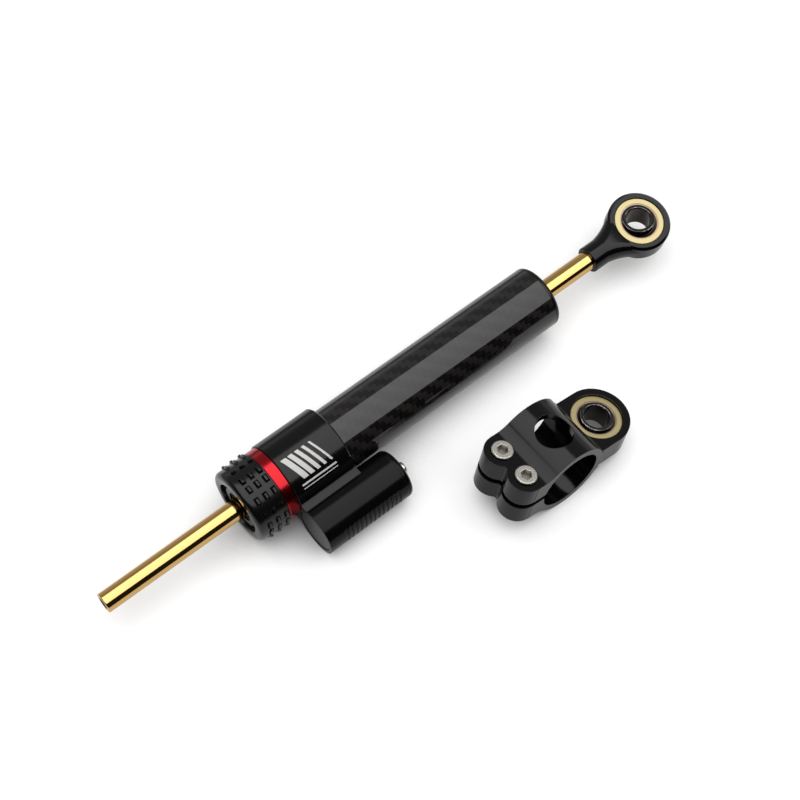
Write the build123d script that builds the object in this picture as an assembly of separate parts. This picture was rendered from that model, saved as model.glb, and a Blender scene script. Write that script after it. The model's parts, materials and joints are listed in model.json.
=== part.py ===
from build123d import *
import math
import os

# Motorcycle steering damper with its frame clamp, in millimetres.
# X runs along the damper to its rod end, Z is up, and the origin is the centre of the rod end's bore.

# Rod, tube and stations along the damper
ROD_DIA = 8.0
ROD_BORE_DIA = 5.0
TUBE_DIA = 26.0
HEAD_DIA = 31.0
ROD_TIP_X = -260.0
KNOB_FRONT_X = -200.5
RING_FRONT_X = -187.0
HEAD_FRONT_X = -182.5
HEAD_BACK_X = -157.0
TUBE_END_X = -55.0
CAP_FACE_X = -52.8
ROD_END_COLLAR_X = -27.0

# Gaps on the radius: a running rod, a turning or sliding piece, a seated piece, a free passage
RUNNING_GAP = 0.03
TURNING_GAP = 0.05
SEAT_GAP = 0.02
PASSAGE_GAP = 0.3

# Bores and grooves of the valve head
SPIGOT_R = 8.5
SPIGOT_FRONT_X = -199.5
FRONT_SEAL_SEAT_X = -190.0
FRONT_BUSH_SEAT_X = -178.0
SLEEVE_WELL_X = -175.0
TUBE_FRONT_X = -170.0
CARBON_SEAT_X = -163.0
HEAD_RIM_CHAMFER = 0.6
CIRCLIP_X = -198.15
CIRCLIP_THICKNESS = 0.8
CIRCLIP_INNER_R = 7.9
CIRCLIP_OUTER_R = 9.7
CIRCLIP_MOUTH = 3.4
HEAD_SEAL_X = -165.8
HEAD_SEAL_WIDTH = 1.8
HEAD_SEAL_DEPTH = 1.15

# Adjuster knob and its clicks
KNOB_DIA = 30.2
KNOB_TOOTH_TIP_R = 16.0
KNOB_TOOTH_ROOT_DEPTH = 0.4
KNOB_SHOULDER_R = 3.2
KNOB_TOOTH_COLUMNS = 18
KNOB_TOOTH_ROWS_X = (-195.6, -191.9, -188.6)
KNOB_TOOTH_LENGTH = 1.5
KNOB_TOOTH_WIDTH = 2.1
KNOB_RECESS_R = 10.6
KNOB_RECESS_DEPTH = 3.0
KNOB_THREAD_FRONT_X = -193.6
KNOB_CLICKS = 24
RED_RING_DIA = 29.8
RED_RING_ROUND = 0.4
DETENT_PITCH_R = 13.5
DETENT_BALL_R = 0.9
DETENT_DIMPLE_R = 0.8
DETENT_DIMPLE_OFFSET = 0.45
DETENT_HOLE_END_X = -179.0
DETENT_COIL_R = 0.62
DETENT_WIRE_R = 0.17
DETENT_TURNS = 6

# Metering sleeve that the knob drives
SLEEVE_THREAD_R = 12.0
SLEEVE_NOSE_R = 10.9
SLEEVE_BORE_GAP = 0.1
SLEEVE_FRONT_X = -192.8
SLEEVE_SHOULDER_X = -189.0
SLEEVE_NOSE_X = -177.5
SLEEVE_NOSE_TAPER = 1.0
SLEEVE_TRAVEL = 1.5
SLEEVE_SEAL_X = -181.4
SLEEVE_SEAL_WIDTH = 1.6
SLEEVE_SEAL_GROOVE_R = 10.05
SLEEVE_SEAL_R = 10.5
SLEEVE_SEAL_WIRE_R = 0.42
KEY_PIN_X = -184.75
KEY_PIN_R = 1.0
KEY_PIN_FOOT_Z = 6.2
KEY_PIN_TOP_Z = 10.5

# Reservoir beside the head
RESERVOIR_R = 10.1
RESERVOIR_Y = -22.9
RESERVOIR_BORE_R = 8.0
RESERVOIR_SEAM_X = -145.8
RESERVOIR_END_X = -143.2
RESERVOIR_END_ROUND = 1.9
RESERVOIR_GROOVES = 13
RESERVOIR_GROOVE_PITCH = 2.05
RESERVOIR_GROOVE_FIRST_X = -174.5
RESERVOIR_GROOVE_WIDTH = 0.9
RESERVOIR_GROOVE_DEPTH = 0.5
RESERVOIR_GROOVE_START_DEG = 30.0
PLUG_SEAT_R = 8.6
PLUG_FACE_SINK = 0.2
PLUG_BACK_X = -178.5
PLUG_EDGE_ROUND = 0.3
CAP_SPIGOT_X = -150.0
BRIDGE_TOP_Z = 3.2
BRIDGE_BOTTOM_Z = -11.5
BRIDGE_OVERLAP = 2.5
OIL_PORT_X = -172.5
OIL_PORT_R = 1.2
OIL_PORT_START_R = 3.0

# Charge screw in the reservoir's cap
CHARGE_SCREW_R = 1.5
CHARGE_HEAD_R = 2.5
CHARGE_HEAD_X = -142.9
CHARGE_TIP_X = -141.3
CHARGE_SHANK_X = -148.5
CHARGE_HEAD_DOME = 1.4
CHARGE_KEY_R = 0.85
CHARGE_KEY_DEPTH = 0.6
CHARGE_WASHER_R = 2.9

# Oil compensator inside the reservoir
FLOAT_FRONT_X = -168.0
FLOAT_CUP_X = -165.0
FLOAT_BACK_X = -161.0
FLOAT_CUP_R = 6.3
FLOAT_SEAL_X = -166.3
FLOAT_SEAL_WIDTH = 1.8
FLOAT_SEAL_GROOVE_R = 6.75
FLOAT_SEAL_R = 7.36
FLOAT_SEAL_WIRE_R = 0.6
COMPENSATOR_COIL_R = 4.8
COMPENSATOR_WIRE_R = 0.6
COMPENSATOR_TURNS = 5

# Pressure tube, rear cap, bushes and seals
TUBE_BORE_R = 9.0
TUBE_WALL_R = 12.0
CHAMBER_BACK_X = -74.0
CAP_RIM_ROUND = 1.7
REAR_BUSH_SEAT_X = -72.0
REAR_SEAL_SEAT_X = -62.0
CAP_SEAL_X = -66.8
CAP_SEAL_WIDTH = 2.4
CAP_SEAL_GROOVE_R = 7.4
CAP_SEAL_R = 8.2
CAP_SEAL_WIRE_R = 0.79
BUSH_R = 5.5
BUSH_END_GAP = 0.2
SEAL_R = 6.2
SEAL_LENGTH = 4.3
SEAL_SPACING = 0.1
LIP_HEEL_GAP = 0.6
LIP_RIM = 0.7
LIP_NECK_RIM = 0.9
LIP_NECK_SHARE = 0.55
LIP_TIP_GAP = 0.5
LIP_EDGE_SETBACK = 0.3

# Piston on the rod
PISTON_X = -133.0
PISTON_LENGTH = 12.0
PISTON_GROOVE_R = 7.9
PISTON_GROOVE_WIDTH = 3.0
PISTON_WAY_R = 1.0
PISTON_WAY_PITCH_R = 6.1
PISTON_WAYS = 4
SHIM_R = 7.6
SHIM_THICKNESS = 0.35
ROD_CLIP_OFFSET = 1.0
ROD_CLIP_THICKNESS = 0.9
ROD_CLIP_OUTER_R = 5.6
ROD_CLIP_MOUTH = 2.6
ROD_GROOVE_R = 3.5
ROD_TIP_ROUND = 0.5
ROD_THREAD_END_X = -13.5

# Rod end and its spherical bearing
EYE_R = 13.0
EYE_THICKNESS = 8.8
EYE_BEVEL = 1.0
SHANK_R = 5.5
SHANK_END_X = -19.5
NECK_STATIONS = (
    (-20.0, 11.0, 11.0, 5.45),
    (-15.0, 13.4, 10.2, 4.8),
    (-7.5, 21.4, 8.0, 3.0),
)
ROD_END_ROLL_DEG = 11.0
BALL_R = 8.25
BALL_WIDTH = 10.0
BALL_BORE_R = 5.0
BALL_BORE_CHAMFER = 0.4
RACE_R = 10.25
RACE_WIDTH = 8.0
RACE_CHAMFER = 0.3
LINER_WALL = 0.55
LINER_WIDTH = 7.6

# Frame clamp; u runs from the ears to the lug
CLAMP_X = -97.7
CLAMP_Y = -54.8
CLAMP_TILT_DEG = 11.0
CLAMP_WIDTH = 27.4
CLAMP_R = 15.9
CLAMP_SPLIT = 2.6
EAR_SCREW_U = -19.0
EAR_LOBE_R = 7.0
EAR_HALF_HEIGHT = 10.0
EAR_JOIN_ROUND = 9.0
LOBE_WAIST_ROUND = 1.6
SCREW_SPACING = 13.2
LUG_U = 25.4
LUG_R = 13.0
LUG_THICKNESS = 10.0
LUG_JOIN_ROUND = 2.5
WINDOW_R = 7.5
SCREW_R = 2.5
SCREW_LENGTH = 15.4
SCREW_HEAD_R = 4.25
SCREW_HEAD_HEIGHT = 5.0
SCREW_HEAD_BEVEL = 0.4
SCREW_KEY_R = 2.31
SCREW_KEY_DEPTH = 2.5
SCREW_SEAT_DEPTH = 4.0
SCREW_SEAT_GAP = 0.3
SCREW_HOLE_GAP = 0.25
SCREW_THREAD_TOP_Z = -1.0

ROD_R = ROD_DIA / 2
TUBE_R = TUBE_DIA / 2
HEAD_R = HEAD_DIA / 2
FLOOR_Z = -KNOB_TOOTH_TIP_R
RESERVOIR_Z = FLOOR_Z + RESERVOIR_R
OVERCUT = 1.0
WIDE = 60.0


def turned(outline, rounds=()):
    """Solid turned about the X axis from (x, radius) corners, with rounded corners (x, radius, r)."""
    face = make_face(Polyline(*outline, close=True))
    for x, radius, corner_r in rounds:
        corner = min(face.vertices(), key=lambda v: math.hypot(v.X - x, v.Y - radius))
        face = fillet(corner, corner_r)
    return revolve(face, axis=Axis.X)


def washer(x0, x1, inner_r, outer_r):
    """Plain ring about the X axis between two stations."""
    return turned([(x0, inner_r), (x0, outer_r), (x1, outer_r), (x1, inner_r)])


def groove(centre_x, width, inner_r, outer_r):
    """Ring-shaped cutter that reaches past the surface it is cut into."""
    return washer(centre_x - width / 2, centre_x + width / 2, inner_r, outer_r + OVERCUT)


def rod_along_x(x0, x1, radius):
    """Round bar about the X axis between two stations."""
    return turned([(x0, 0), (x0, radius), (x1, radius), (x1, 0)])


def ring_section(x, radius, wire_r):
    """O-ring about the X axis."""
    return Pos(x, 0, 0) * Rot(0, 90, 0) * Torus(radius, wire_r)


def coil_spring(x0, x1, coil_r, wire_r, turns):
    """Open coil spring about the X axis, one unbroken wire."""
    pitch = (x1 - x0 - 2 * wire_r) / turns
    path = Helix(pitch, pitch * turns, coil_r)
    start = Plane(origin=path @ 0, z_dir=path % 0)
    wire = sweep(start * Circle(wire_r), path=path, is_frenet=True)
    print("coil of radius", coil_r, "has a gap of", round(coil_gap(path, turns, wire_r), 2), "mm")
    return Pos(x0 + wire_r, 0, 0) * Rot(0, 90, 0) * wire


def coil_gap(path, turns, wire_r):
    """Least distance between one turn's wire and the next, measured on points."""
    steps = 24
    points = [path @ (index / (turns * steps)) for index in range(turns * steps + 1)]
    distances = [
        (far - near).length
        for index, near in enumerate(points)
        for far in points[index + steps // 2:]
    ]
    return min(distances) - 2 * wire_r


def circles_of(piece, radius):
    """Round edges of one radius."""
    circles = piece.edges().filter_by(GeomType.CIRCLE)
    return [edge for edge in circles if abs(edge.radius - radius) < 0.01]


def at_reservoir(piece):
    """Moves a piece made about the X axis onto the reservoir's axis."""
    return Pos(0, RESERVOIR_Y, RESERVOIR_Z) * piece


# Damper body
def head_profile():
    """Section of the billet: the collar, the reservoir and the bridge between them."""
    collar = Circle(HEAD_R)
    tank = Pos(RESERVOIR_Y, RESERVOIR_Z) * Circle(RESERVOIR_R)
    bridge_end = RESERVOIR_Y + BRIDGE_OVERLAP
    bridge = make_face(
        Polyline(
            (0, BRIDGE_TOP_Z),
            (bridge_end, BRIDGE_TOP_Z),
            (bridge_end, BRIDGE_BOTTOM_Z),
            (0, BRIDGE_BOTTOM_Z),
            close=True,
        )
    )
    return collar + tank + bridge


def head_billet():
    """Outside of the head before it is bored: collar, bridge, reservoir housing and spigot."""
    section = Plane(origin=(HEAD_FRONT_X, 0, 0), x_dir=(0, 1, 0), z_dir=(1, 0, 0))
    body = extrude(section * head_profile(), amount=HEAD_BACK_X - HEAD_FRONT_X)
    rims = [edge for edge in circles_of(body, HEAD_R) if edge.center().X > HEAD_FRONT_X + OVERCUT]
    body = chamfer(rims, HEAD_RIM_CHAMFER)
    body += at_reservoir(rod_along_x(HEAD_BACK_X, RESERVOIR_SEAM_X, RESERVOIR_R))
    return body + rod_along_x(SPIGOT_FRONT_X, HEAD_FRONT_X, SPIGOT_R)


def reservoir_grooves():
    """Ring grooves cut round the outer side and the underside of the reservoir."""
    lower_half = Pos(0, 0, -RESERVOIR_R) * Box(2 * WIDE, WIDE, 2 * RESERVOIR_R)
    outer_half = Pos(HEAD_BACK_X, 0, 0) * Rot(-RESERVOIR_GROOVE_START_DEG, 0, 0) * lower_half
    floor_r = RESERVOIR_R - RESERVOIR_GROOVE_DEPTH
    cutters = []
    for index in range(RESERVOIR_GROOVES):
        x = RESERVOIR_GROOVE_FIRST_X + index * RESERVOIR_GROOVE_PITCH
        ring = groove(x, RESERVOIR_GROOVE_WIDTH, floor_r, RESERVOIR_R)
        cutters.append(at_reservoir(ring & outer_half))
    return cutters


def oil_port():
    """Drilled passage from the chamber's neck through the bridge to the reservoir."""
    reach = math.hypot(RESERVOIR_Y, RESERVOIR_Z) - 2 * OIL_PORT_START_R
    turn = math.degrees(math.atan2(-RESERVOIR_Z, -RESERVOIR_Y))
    drill = Rot(90, 0, 0) * Cylinder(OIL_PORT_R, reach)
    middle = Pos(0, -(OIL_PORT_START_R + reach / 2), 0)
    return Pos(OIL_PORT_X, 0, 0) * Rot(turn, 0, 0) * middle * drill


def detent_hole(x0, x1):
    """Hole for the click ball and its spring."""
    return Pos(0, 0, -DETENT_PITCH_R) * rod_along_x(x0, x1, DETENT_BALL_R + TURNING_GAP)


def valve_head():
    """Billet head, bored for rod, bush, seals, tube, metering sleeve, oil port and reservoir."""
    body = head_billet()
    body -= rod_along_x(TUBE_FRONT_X, HEAD_BACK_X, TUBE_WALL_R + SEAT_GAP)
    body -= rod_along_x(CARBON_SEAT_X, HEAD_BACK_X, TUBE_R + SEAT_GAP)
    body -= rod_along_x(FRONT_BUSH_SEAT_X, TUBE_FRONT_X, ROD_R + PASSAGE_GAP)
    body -= rod_along_x(FRONT_SEAL_SEAT_X, FRONT_BUSH_SEAT_X, BUSH_R)
    body -= rod_along_x(SPIGOT_FRONT_X, FRONT_SEAL_SEAT_X, SEAL_R)
    body -= washer(HEAD_FRONT_X, SLEEVE_WELL_X, SPIGOT_R, SLEEVE_NOSE_R + SLEEVE_BORE_GAP)
    body -= groove(CIRCLIP_X, CIRCLIP_THICKNESS + 2 * TURNING_GAP, CIRCLIP_INNER_R, SPIGOT_R)
    body -= head_seal_ring(TURNING_GAP)
    body -= at_reservoir(rod_along_x(HEAD_FRONT_X, PLUG_BACK_X, PLUG_SEAT_R))
    body -= at_reservoir(rod_along_x(PLUG_BACK_X, RESERVOIR_SEAM_X, RESERVOIR_BORE_R))
    body -= oil_port()
    body -= sleeve_key_pin()
    body -= detent_hole(HEAD_FRONT_X, DETENT_HOLE_END_X)
    for cutter in reservoir_grooves():
        body -= cutter
    return body


def red_ring():
    """Anodised spacer ring between the knob and the head."""
    edge_r = RED_RING_DIA / 2
    inner_r = SLEEVE_NOSE_R + PASSAGE_GAP
    ring = turned(
        [
            (RING_FRONT_X, inner_r),
            (RING_FRONT_X, edge_r),
            (HEAD_FRONT_X, edge_r),
            (HEAD_FRONT_X, inner_r),
        ],
        [(RING_FRONT_X, edge_r, RED_RING_ROUND), (HEAD_FRONT_X, edge_r, RED_RING_ROUND)],
    )
    return ring - detent_hole(RING_FRONT_X, HEAD_FRONT_X)


def carbon_sleeve():
    """Thin woven sleeve bonded over the pressure tube."""
    return washer(CARBON_SEAT_X + SEAL_SPACING, TUBE_END_X, TUBE_WALL_R, TUBE_R)


def cylinder_tube():
    """Honed aluminium pressure tube."""
    return washer(TUBE_FRONT_X, TUBE_END_X, TUBE_BORE_R, TUBE_WALL_R)


def rear_end_cap():
    """Cap that closes the tube and carries the rear bush and seals."""
    cap = turned(
        [
            (CHAMBER_BACK_X, 0),
            (CHAMBER_BACK_X, TUBE_BORE_R),
            (TUBE_END_X, TUBE_BORE_R),
            (TUBE_END_X, TUBE_R),
            (CAP_FACE_X, TUBE_R),
            (CAP_FACE_X, 0),
        ],
        [(CAP_FACE_X, TUBE_R, CAP_RIM_ROUND)],
    )
    cap -= rod_along_x(CHAMBER_BACK_X, CAP_FACE_X, ROD_R + PASSAGE_GAP)
    cap -= rod_along_x(REAR_BUSH_SEAT_X, CAP_FACE_X, BUSH_R)
    cap -= rod_along_x(REAR_SEAL_SEAT_X, CAP_FACE_X, SEAL_R)
    return cap - groove(CAP_SEAL_X, CAP_SEAL_WIDTH, CAP_SEAL_GROOVE_R, TUBE_BORE_R)


def guide_bush(x0, x1):
    """Bearing bush that carries the rod."""
    return washer(x0, x1, ROD_R + RUNNING_GAP, BUSH_R)


def lip_seal(x0, towards):
    """Rod seal: a ring with a lip that reaches towards one end along X."""
    x1 = x0 + SEAL_LENGTH
    lip_x = x1 if towards > 0 else x0
    back_x = x0 if towards > 0 else x1
    neck = LIP_NECK_SHARE * SEAL_LENGTH * towards
    return turned(
        [
            (back_x, ROD_R + LIP_HEEL_GAP),
            (back_x, SEAL_R),
            (lip_x, SEAL_R),
            (lip_x, SEAL_R - LIP_RIM),
            (back_x + neck, SEAL_R - LIP_NECK_RIM),
            (lip_x, ROD_R + LIP_TIP_GAP),
            (lip_x - LIP_EDGE_SETBACK * towards, ROD_R + RUNNING_GAP),
        ]
    )


def head_seal_ring(room):
    """Squeezed static seal between tube and head, or its groove with some room round it."""
    half = HEAD_SEAL_WIDTH / 2 + room
    outer_r = TUBE_WALL_R + HEAD_SEAL_DEPTH + room
    return washer(HEAD_SEAL_X - half, HEAD_SEAL_X + half, TUBE_WALL_R, outer_r)


def open_clip(centre_x, thickness, inner_r, outer_r, mouth):
    """Circlip about the X axis with its mouth upwards."""
    clip = washer(centre_x - thickness / 2, centre_x + thickness / 2, inner_r, outer_r)
    gap = Pos(centre_x, 0, outer_r) * Box(2 * thickness, mouth, 2 * (outer_r - inner_r) + mouth)
    return clip - gap


def sleeve_key_pin():
    """Pin in the spigot that lets the metering sleeve slide but not turn."""
    middle_z = (KEY_PIN_FOOT_Z + KEY_PIN_TOP_Z) / 2
    return Pos(KEY_PIN_X, 0, middle_z) * Cylinder(KEY_PIN_R, KEY_PIN_TOP_Z - KEY_PIN_FOOT_Z)


def detent_ball():
    """Click ball of the adjuster, level with the ridges between the dimples."""
    return Pos(RING_FRONT_X + DETENT_BALL_R, 0, -DETENT_PITCH_R) * Sphere(DETENT_BALL_R)


def detent_spring():
    """Spring behind the click ball."""
    ball_back_x = RING_FRONT_X + 2 * DETENT_BALL_R
    end_x = DETENT_HOLE_END_X - TURNING_GAP
    spring = coil_spring(ball_back_x, end_x, DETENT_COIL_R, DETENT_WIRE_R, DETENT_TURNS)
    return Pos(0, 0, -DETENT_PITCH_R) * spring


def reservoir_plug():
    """Flat disc that closes the near end of the reservoir."""
    face_x = HEAD_FRONT_X + PLUG_FACE_SINK
    plug_r = PLUG_SEAT_R - TURNING_GAP
    plug = turned(
        [(face_x, 0), (face_x, plug_r), (PLUG_BACK_X, plug_r), (PLUG_BACK_X, 0)],
        [(face_x, plug_r, PLUG_EDGE_ROUND)],
    )
    return at_reservoir(plug)


def reservoir_cap():
    """Rounded cap on the far end of the reservoir, with the seat of the charge screw."""
    spigot_r = RESERVOIR_BORE_R - SEAT_GAP
    cap = turned(
        [
            (CAP_SPIGOT_X, 0),
            (CAP_SPIGOT_X, spigot_r),
            (RESERVOIR_SEAM_X, spigot_r),
            (RESERVOIR_SEAM_X, RESERVOIR_R),
            (RESERVOIR_END_X, RESERVOIR_R),
            (RESERVOIR_END_X, 0),
        ],
        [(RESERVOIR_END_X, RESERVOIR_R, RESERVOIR_END_ROUND)],
    )
    cap -= rod_along_x(CAP_SPIGOT_X, RESERVOIR_END_X, CHARGE_SCREW_R)
    return at_reservoir(cap)


def charge_screw():
    """Domed button-head screw that closes the charging port."""
    head = turned(
        [
            (CHARGE_HEAD_X, 0),
            (CHARGE_HEAD_X, CHARGE_HEAD_R),
            (CHARGE_TIP_X, CHARGE_HEAD_R),
            (CHARGE_TIP_X, 0),
        ],
        [(CHARGE_TIP_X, CHARGE_HEAD_R, CHARGE_HEAD_DOME)],
    )
    shank = rod_along_x(CHARGE_SHANK_X, CHARGE_HEAD_X, CHARGE_SCREW_R)
    key = extrude(RegularPolygon(CHARGE_KEY_R, 6), amount=2 * CHARGE_KEY_DEPTH)
    socket = Pos(CHARGE_TIP_X - CHARGE_KEY_DEPTH, 0, 0) * Rot(0, 90, 0) * key
    return at_reservoir(head + shank - socket)


def charge_screw_washer():
    """Sealing washer under the charge screw."""
    return at_reservoir(washer(RESERVOIR_END_X, CHARGE_HEAD_X, CHARGE_SCREW_R, CHARGE_WASHER_R))


# Adjuster
def knob_teeth():
    """Small square teeth standing on the knob, in rows round it."""
    root_r = KNOB_DIA / 2 - KNOB_TOOTH_ROOT_DEPTH
    height = KNOB_TOOTH_TIP_R - root_r
    tooth = Pos(0, 0, root_r + height / 2) * Box(KNOB_TOOTH_LENGTH, KNOB_TOOTH_WIDTH, height)
    teeth = []
    for row_x in KNOB_TOOTH_ROWS_X:
        for column in range(KNOB_TOOTH_COLUMNS):
            turn = 360.0 * column / KNOB_TOOTH_COLUMNS
            teeth.append(Pos(row_x, 0, 0) * Rot(turn, 0, 0) * tooth)
    return teeth


def adjuster_knob():
    """Knob that turns on the spigot and screws the metering sleeve in and out."""
    edge_r = KNOB_DIA / 2
    back_x = RING_FRONT_X - TURNING_GAP
    recess_x = KNOB_FRONT_X + KNOB_RECESS_DEPTH
    thread_r = SLEEVE_THREAD_R + TURNING_GAP
    bore_r = SPIGOT_R + TURNING_GAP
    body = turned(
        [
            (KNOB_FRONT_X, KNOB_RECESS_R),
            (KNOB_FRONT_X, edge_r),
            (back_x, edge_r),
            (back_x, thread_r),
            (KNOB_THREAD_FRONT_X, thread_r),
            (KNOB_THREAD_FRONT_X, bore_r),
            (recess_x, bore_r),
            (recess_x, KNOB_RECESS_R),
        ],
        [(KNOB_FRONT_X, edge_r, KNOB_SHOULDER_R)],
    )
    body += knob_teeth()
    dimple = Pos(back_x + DETENT_DIMPLE_OFFSET, 0, -DETENT_PITCH_R) * Sphere(DETENT_DIMPLE_R)
    dimples = [Rot(360.0 * click / KNOB_CLICKS, 0, 0) * dimple for click in range(KNOB_CLICKS)]
    return body - dimples


def metering_sleeve():
    """Sleeve threaded into the knob; its nose closes the bypass as it moves in."""
    bore_r = SPIGOT_R + SLEEVE_BORE_GAP
    sleeve = turned(
        [
            (SLEEVE_FRONT_X, bore_r),
            (SLEEVE_FRONT_X, SLEEVE_THREAD_R),
            (SLEEVE_SHOULDER_X, SLEEVE_THREAD_R),
            (SLEEVE_SHOULDER_X, SLEEVE_NOSE_R),
            (SLEEVE_NOSE_X - SLEEVE_NOSE_TAPER, SLEEVE_NOSE_R),
            (SLEEVE_NOSE_X, SLEEVE_NOSE_R - SLEEVE_NOSE_TAPER),
            (SLEEVE_NOSE_X, bore_r),
        ]
    )
    slot_length = 2 * KEY_PIN_R + SLEEVE_TRAVEL + PASSAGE_GAP
    slot_width = 2 * (KEY_PIN_R + SLEEVE_BORE_GAP)
    slot = Pos(KEY_PIN_X - SLEEVE_TRAVEL / 2, 0, KEY_PIN_TOP_Z) * Box(slot_length, slot_width, 5)
    return sleeve - slot - groove(SLEEVE_SEAL_X, SLEEVE_SEAL_WIDTH, SLEEVE_SEAL_GROOVE_R, SLEEVE_NOSE_R)


# Oil compensator
def floating_piston():
    """Cup-shaped piston that parts the oil from the spring."""
    cup = rod_along_x(FLOAT_FRONT_X, FLOAT_BACK_X, RESERVOIR_BORE_R - TURNING_GAP)
    cup -= rod_along_x(FLOAT_CUP_X, FLOAT_BACK_X, FLOAT_CUP_R)
    cup -= groove(FLOAT_SEAL_X, FLOAT_SEAL_WIDTH, FLOAT_SEAL_GROOVE_R, RESERVOIR_BORE_R)
    return at_reservoir(cup)


def compensator_spring():
    """Spring that keeps the oil under light pressure."""
    start_x = FLOAT_CUP_X + TURNING_GAP
    end_x = CAP_SPIGOT_X - TURNING_GAP
    coil = coil_spring(start_x, end_x, COMPENSATOR_COIL_R, COMPENSATOR_WIRE_R, COMPENSATOR_TURNS)
    return at_reservoir(coil)


# Rod and piston
def rod_clip_stations():
    """Centres of the two circlips that hold the piston on the rod."""
    reach = PISTON_LENGTH / 2 + ROD_CLIP_OFFSET
    return (PISTON_X - reach, PISTON_X + reach)


def damper_rod():
    """Hollow rod that goes right through the damper."""
    bore_r = ROD_BORE_DIA / 2
    rod = turned(
        [
            (ROD_TIP_X, bore_r),
            (ROD_TIP_X, ROD_R),
            (ROD_THREAD_END_X, ROD_R),
            (ROD_THREAD_END_X, bore_r),
        ],
        [(ROD_TIP_X, ROD_R, ROD_TIP_ROUND)],
    )
    for clip_x in rod_clip_stations():
        rod -= groove(clip_x, ROD_CLIP_THICKNESS + 2 * TURNING_GAP, ROD_GROOVE_R, ROD_R)
    return rod


def piston():
    """Piston with drilled oil ways and the groove of its ring."""
    half = PISTON_LENGTH / 2
    body = washer(PISTON_X - half, PISTON_X + half, ROD_R + RUNNING_GAP, TUBE_BORE_R - TURNING_GAP)
    body -= groove(PISTON_X, PISTON_GROOVE_WIDTH, PISTON_GROOVE_R, TUBE_BORE_R)
    way = Rot(0, 90, 0) * Cylinder(PISTON_WAY_R, PISTON_LENGTH + 2 * OVERCUT)
    way = Pos(PISTON_X, 0, PISTON_WAY_PITCH_R) * way
    return body - [Rot(360.0 * index / PISTON_WAYS, 0, 0) * way for index in range(PISTON_WAYS)]


def piston_ring():
    """Low-friction ring in the piston's groove."""
    half = PISTON_GROOVE_WIDTH / 2 - TURNING_GAP
    return washer(PISTON_X - half, PISTON_X + half, PISTON_GROOVE_R + TURNING_GAP, TUBE_BORE_R - SEAT_GAP)


def piston_shims():
    """Flexing washers that cover the oil ways on both faces."""
    half = PISTON_LENGTH / 2
    inner_r = ROD_R + RUNNING_GAP
    left = washer(PISTON_X - half - SHIM_THICKNESS, PISTON_X - half, inner_r, SHIM_R)
    right = washer(PISTON_X + half, PISTON_X + half + SHIM_THICKNESS, inner_r, SHIM_R)
    return Compound(children=[left, right])


def piston_circlips():
    """Open circlips on the rod, one on each side of the piston."""
    inner_r = ROD_GROOVE_R + TURNING_GAP
    clips = [
        open_clip(clip_x, ROD_CLIP_THICKNESS, inner_r, ROD_CLIP_OUTER_R, ROD_CLIP_MOUTH)
        for clip_x in rod_clip_stations()
    ]
    return Compound(children=clips)


def rolled(piece):
    """Rolls the rod end about the rod to where it was left."""
    return Rot(ROD_END_ROLL_DEG, 0, 0) * piece


def bearing_race():
    """Outer ring of the spherical bearing."""
    liner_r = BALL_R + RUNNING_GAP + LINER_WALL
    ring = Cylinder(RACE_R, RACE_WIDTH) - Sphere(liner_r)
    return chamfer(circles_of(ring, RACE_R), RACE_CHAMFER)


def bearing_liner():
    """Thin self-lubricating liner inside the race."""
    inner_r = BALL_R + RUNNING_GAP
    shell = Sphere(inner_r + LINER_WALL) - Sphere(inner_r)
    return shell & Box(WIDE, WIDE, LINER_WIDTH)


def bearing_ball():
    """Truncated ball with its bolt bore, both mouths chamfered."""
    ball = Sphere(BALL_R) & Box(WIDE, WIDE, BALL_WIDTH)
    ball -= Cylinder(BALL_BORE_R, BALL_WIDTH + 2 * OVERCUT)
    return chamfer(circles_of(ball, BALL_BORE_R), BALL_BORE_CHAMFER)


def neck_section(x, width, height, corner_r):
    """Rounded section of the rod end's neck at one station."""
    plane = Plane(origin=(x, 0, 0), x_dir=(0, 1, 0), z_dir=(1, 0, 0))
    return plane * RectangleRounded(width, height, corner_r)


def rod_end_housing():
    """Rod end: threaded shank that flares into the eye."""
    shank = turned(
        [
            (ROD_END_COLLAR_X, 0),
            (ROD_END_COLLAR_X, SHANK_R),
            (SHANK_END_X, SHANK_R),
            (SHANK_END_X, 0),
        ],
        [(ROD_END_COLLAR_X, SHANK_R, ROD_TIP_ROUND)],
    )
    neck = loft([neck_section(*station) for station in NECK_STATIONS])
    eye = Cylinder(EYE_R, EYE_THICKNESS)
    eye = chamfer(circles_of(eye, EYE_R), EYE_BEVEL)
    body = shank + neck + eye
    body -= Cylinder(RACE_R, WIDE)
    return body - rod_along_x(ROD_END_COLLAR_X, ROD_THREAD_END_X + SEAL_SPACING, ROD_R)


# Frame clamp
def nearest_corner(profile, place):
    """Corner of a profile that lies nearest to a remembered one."""
    return min(profile.vertices(), key=lambda v: math.hypot(v.X - place.X, v.Y - place.Y))


def clamp_side_profile():
    """Side view of the clamp: ring, ears and lug, drawn in the plane square to its bore."""
    ear_end_u = EAR_SCREW_U - EAR_LOBE_R
    lug_end_u = LUG_U + LUG_R
    ears = Pos(ear_end_u / 2, 0) * Rectangle(-ear_end_u, 2 * EAR_HALF_HEIGHT)
    lug = Pos(lug_end_u / 2, 0) * Rectangle(lug_end_u, LUG_THICKNESS)
    profile = Circle(CLAMP_R) + ears + lug
    joins = [v for v in profile.vertices() if abs(math.hypot(v.X, v.Y) - CLAMP_R) < 0.01]
    lug_joins = [v for v in joins if v.X > 0]
    ear_joins = [v for v in joins if v.X < 0]
    profile = fillet(lug_joins, LUG_JOIN_ROUND)
    ear_joins = [nearest_corner(profile, place) for place in ear_joins]
    return fillet(ear_joins, EAR_JOIN_ROUND)


def screw_places():
    """Places of the two screws across the clamp's width."""
    return (-SCREW_SPACING / 2, SCREW_SPACING / 2)


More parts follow.
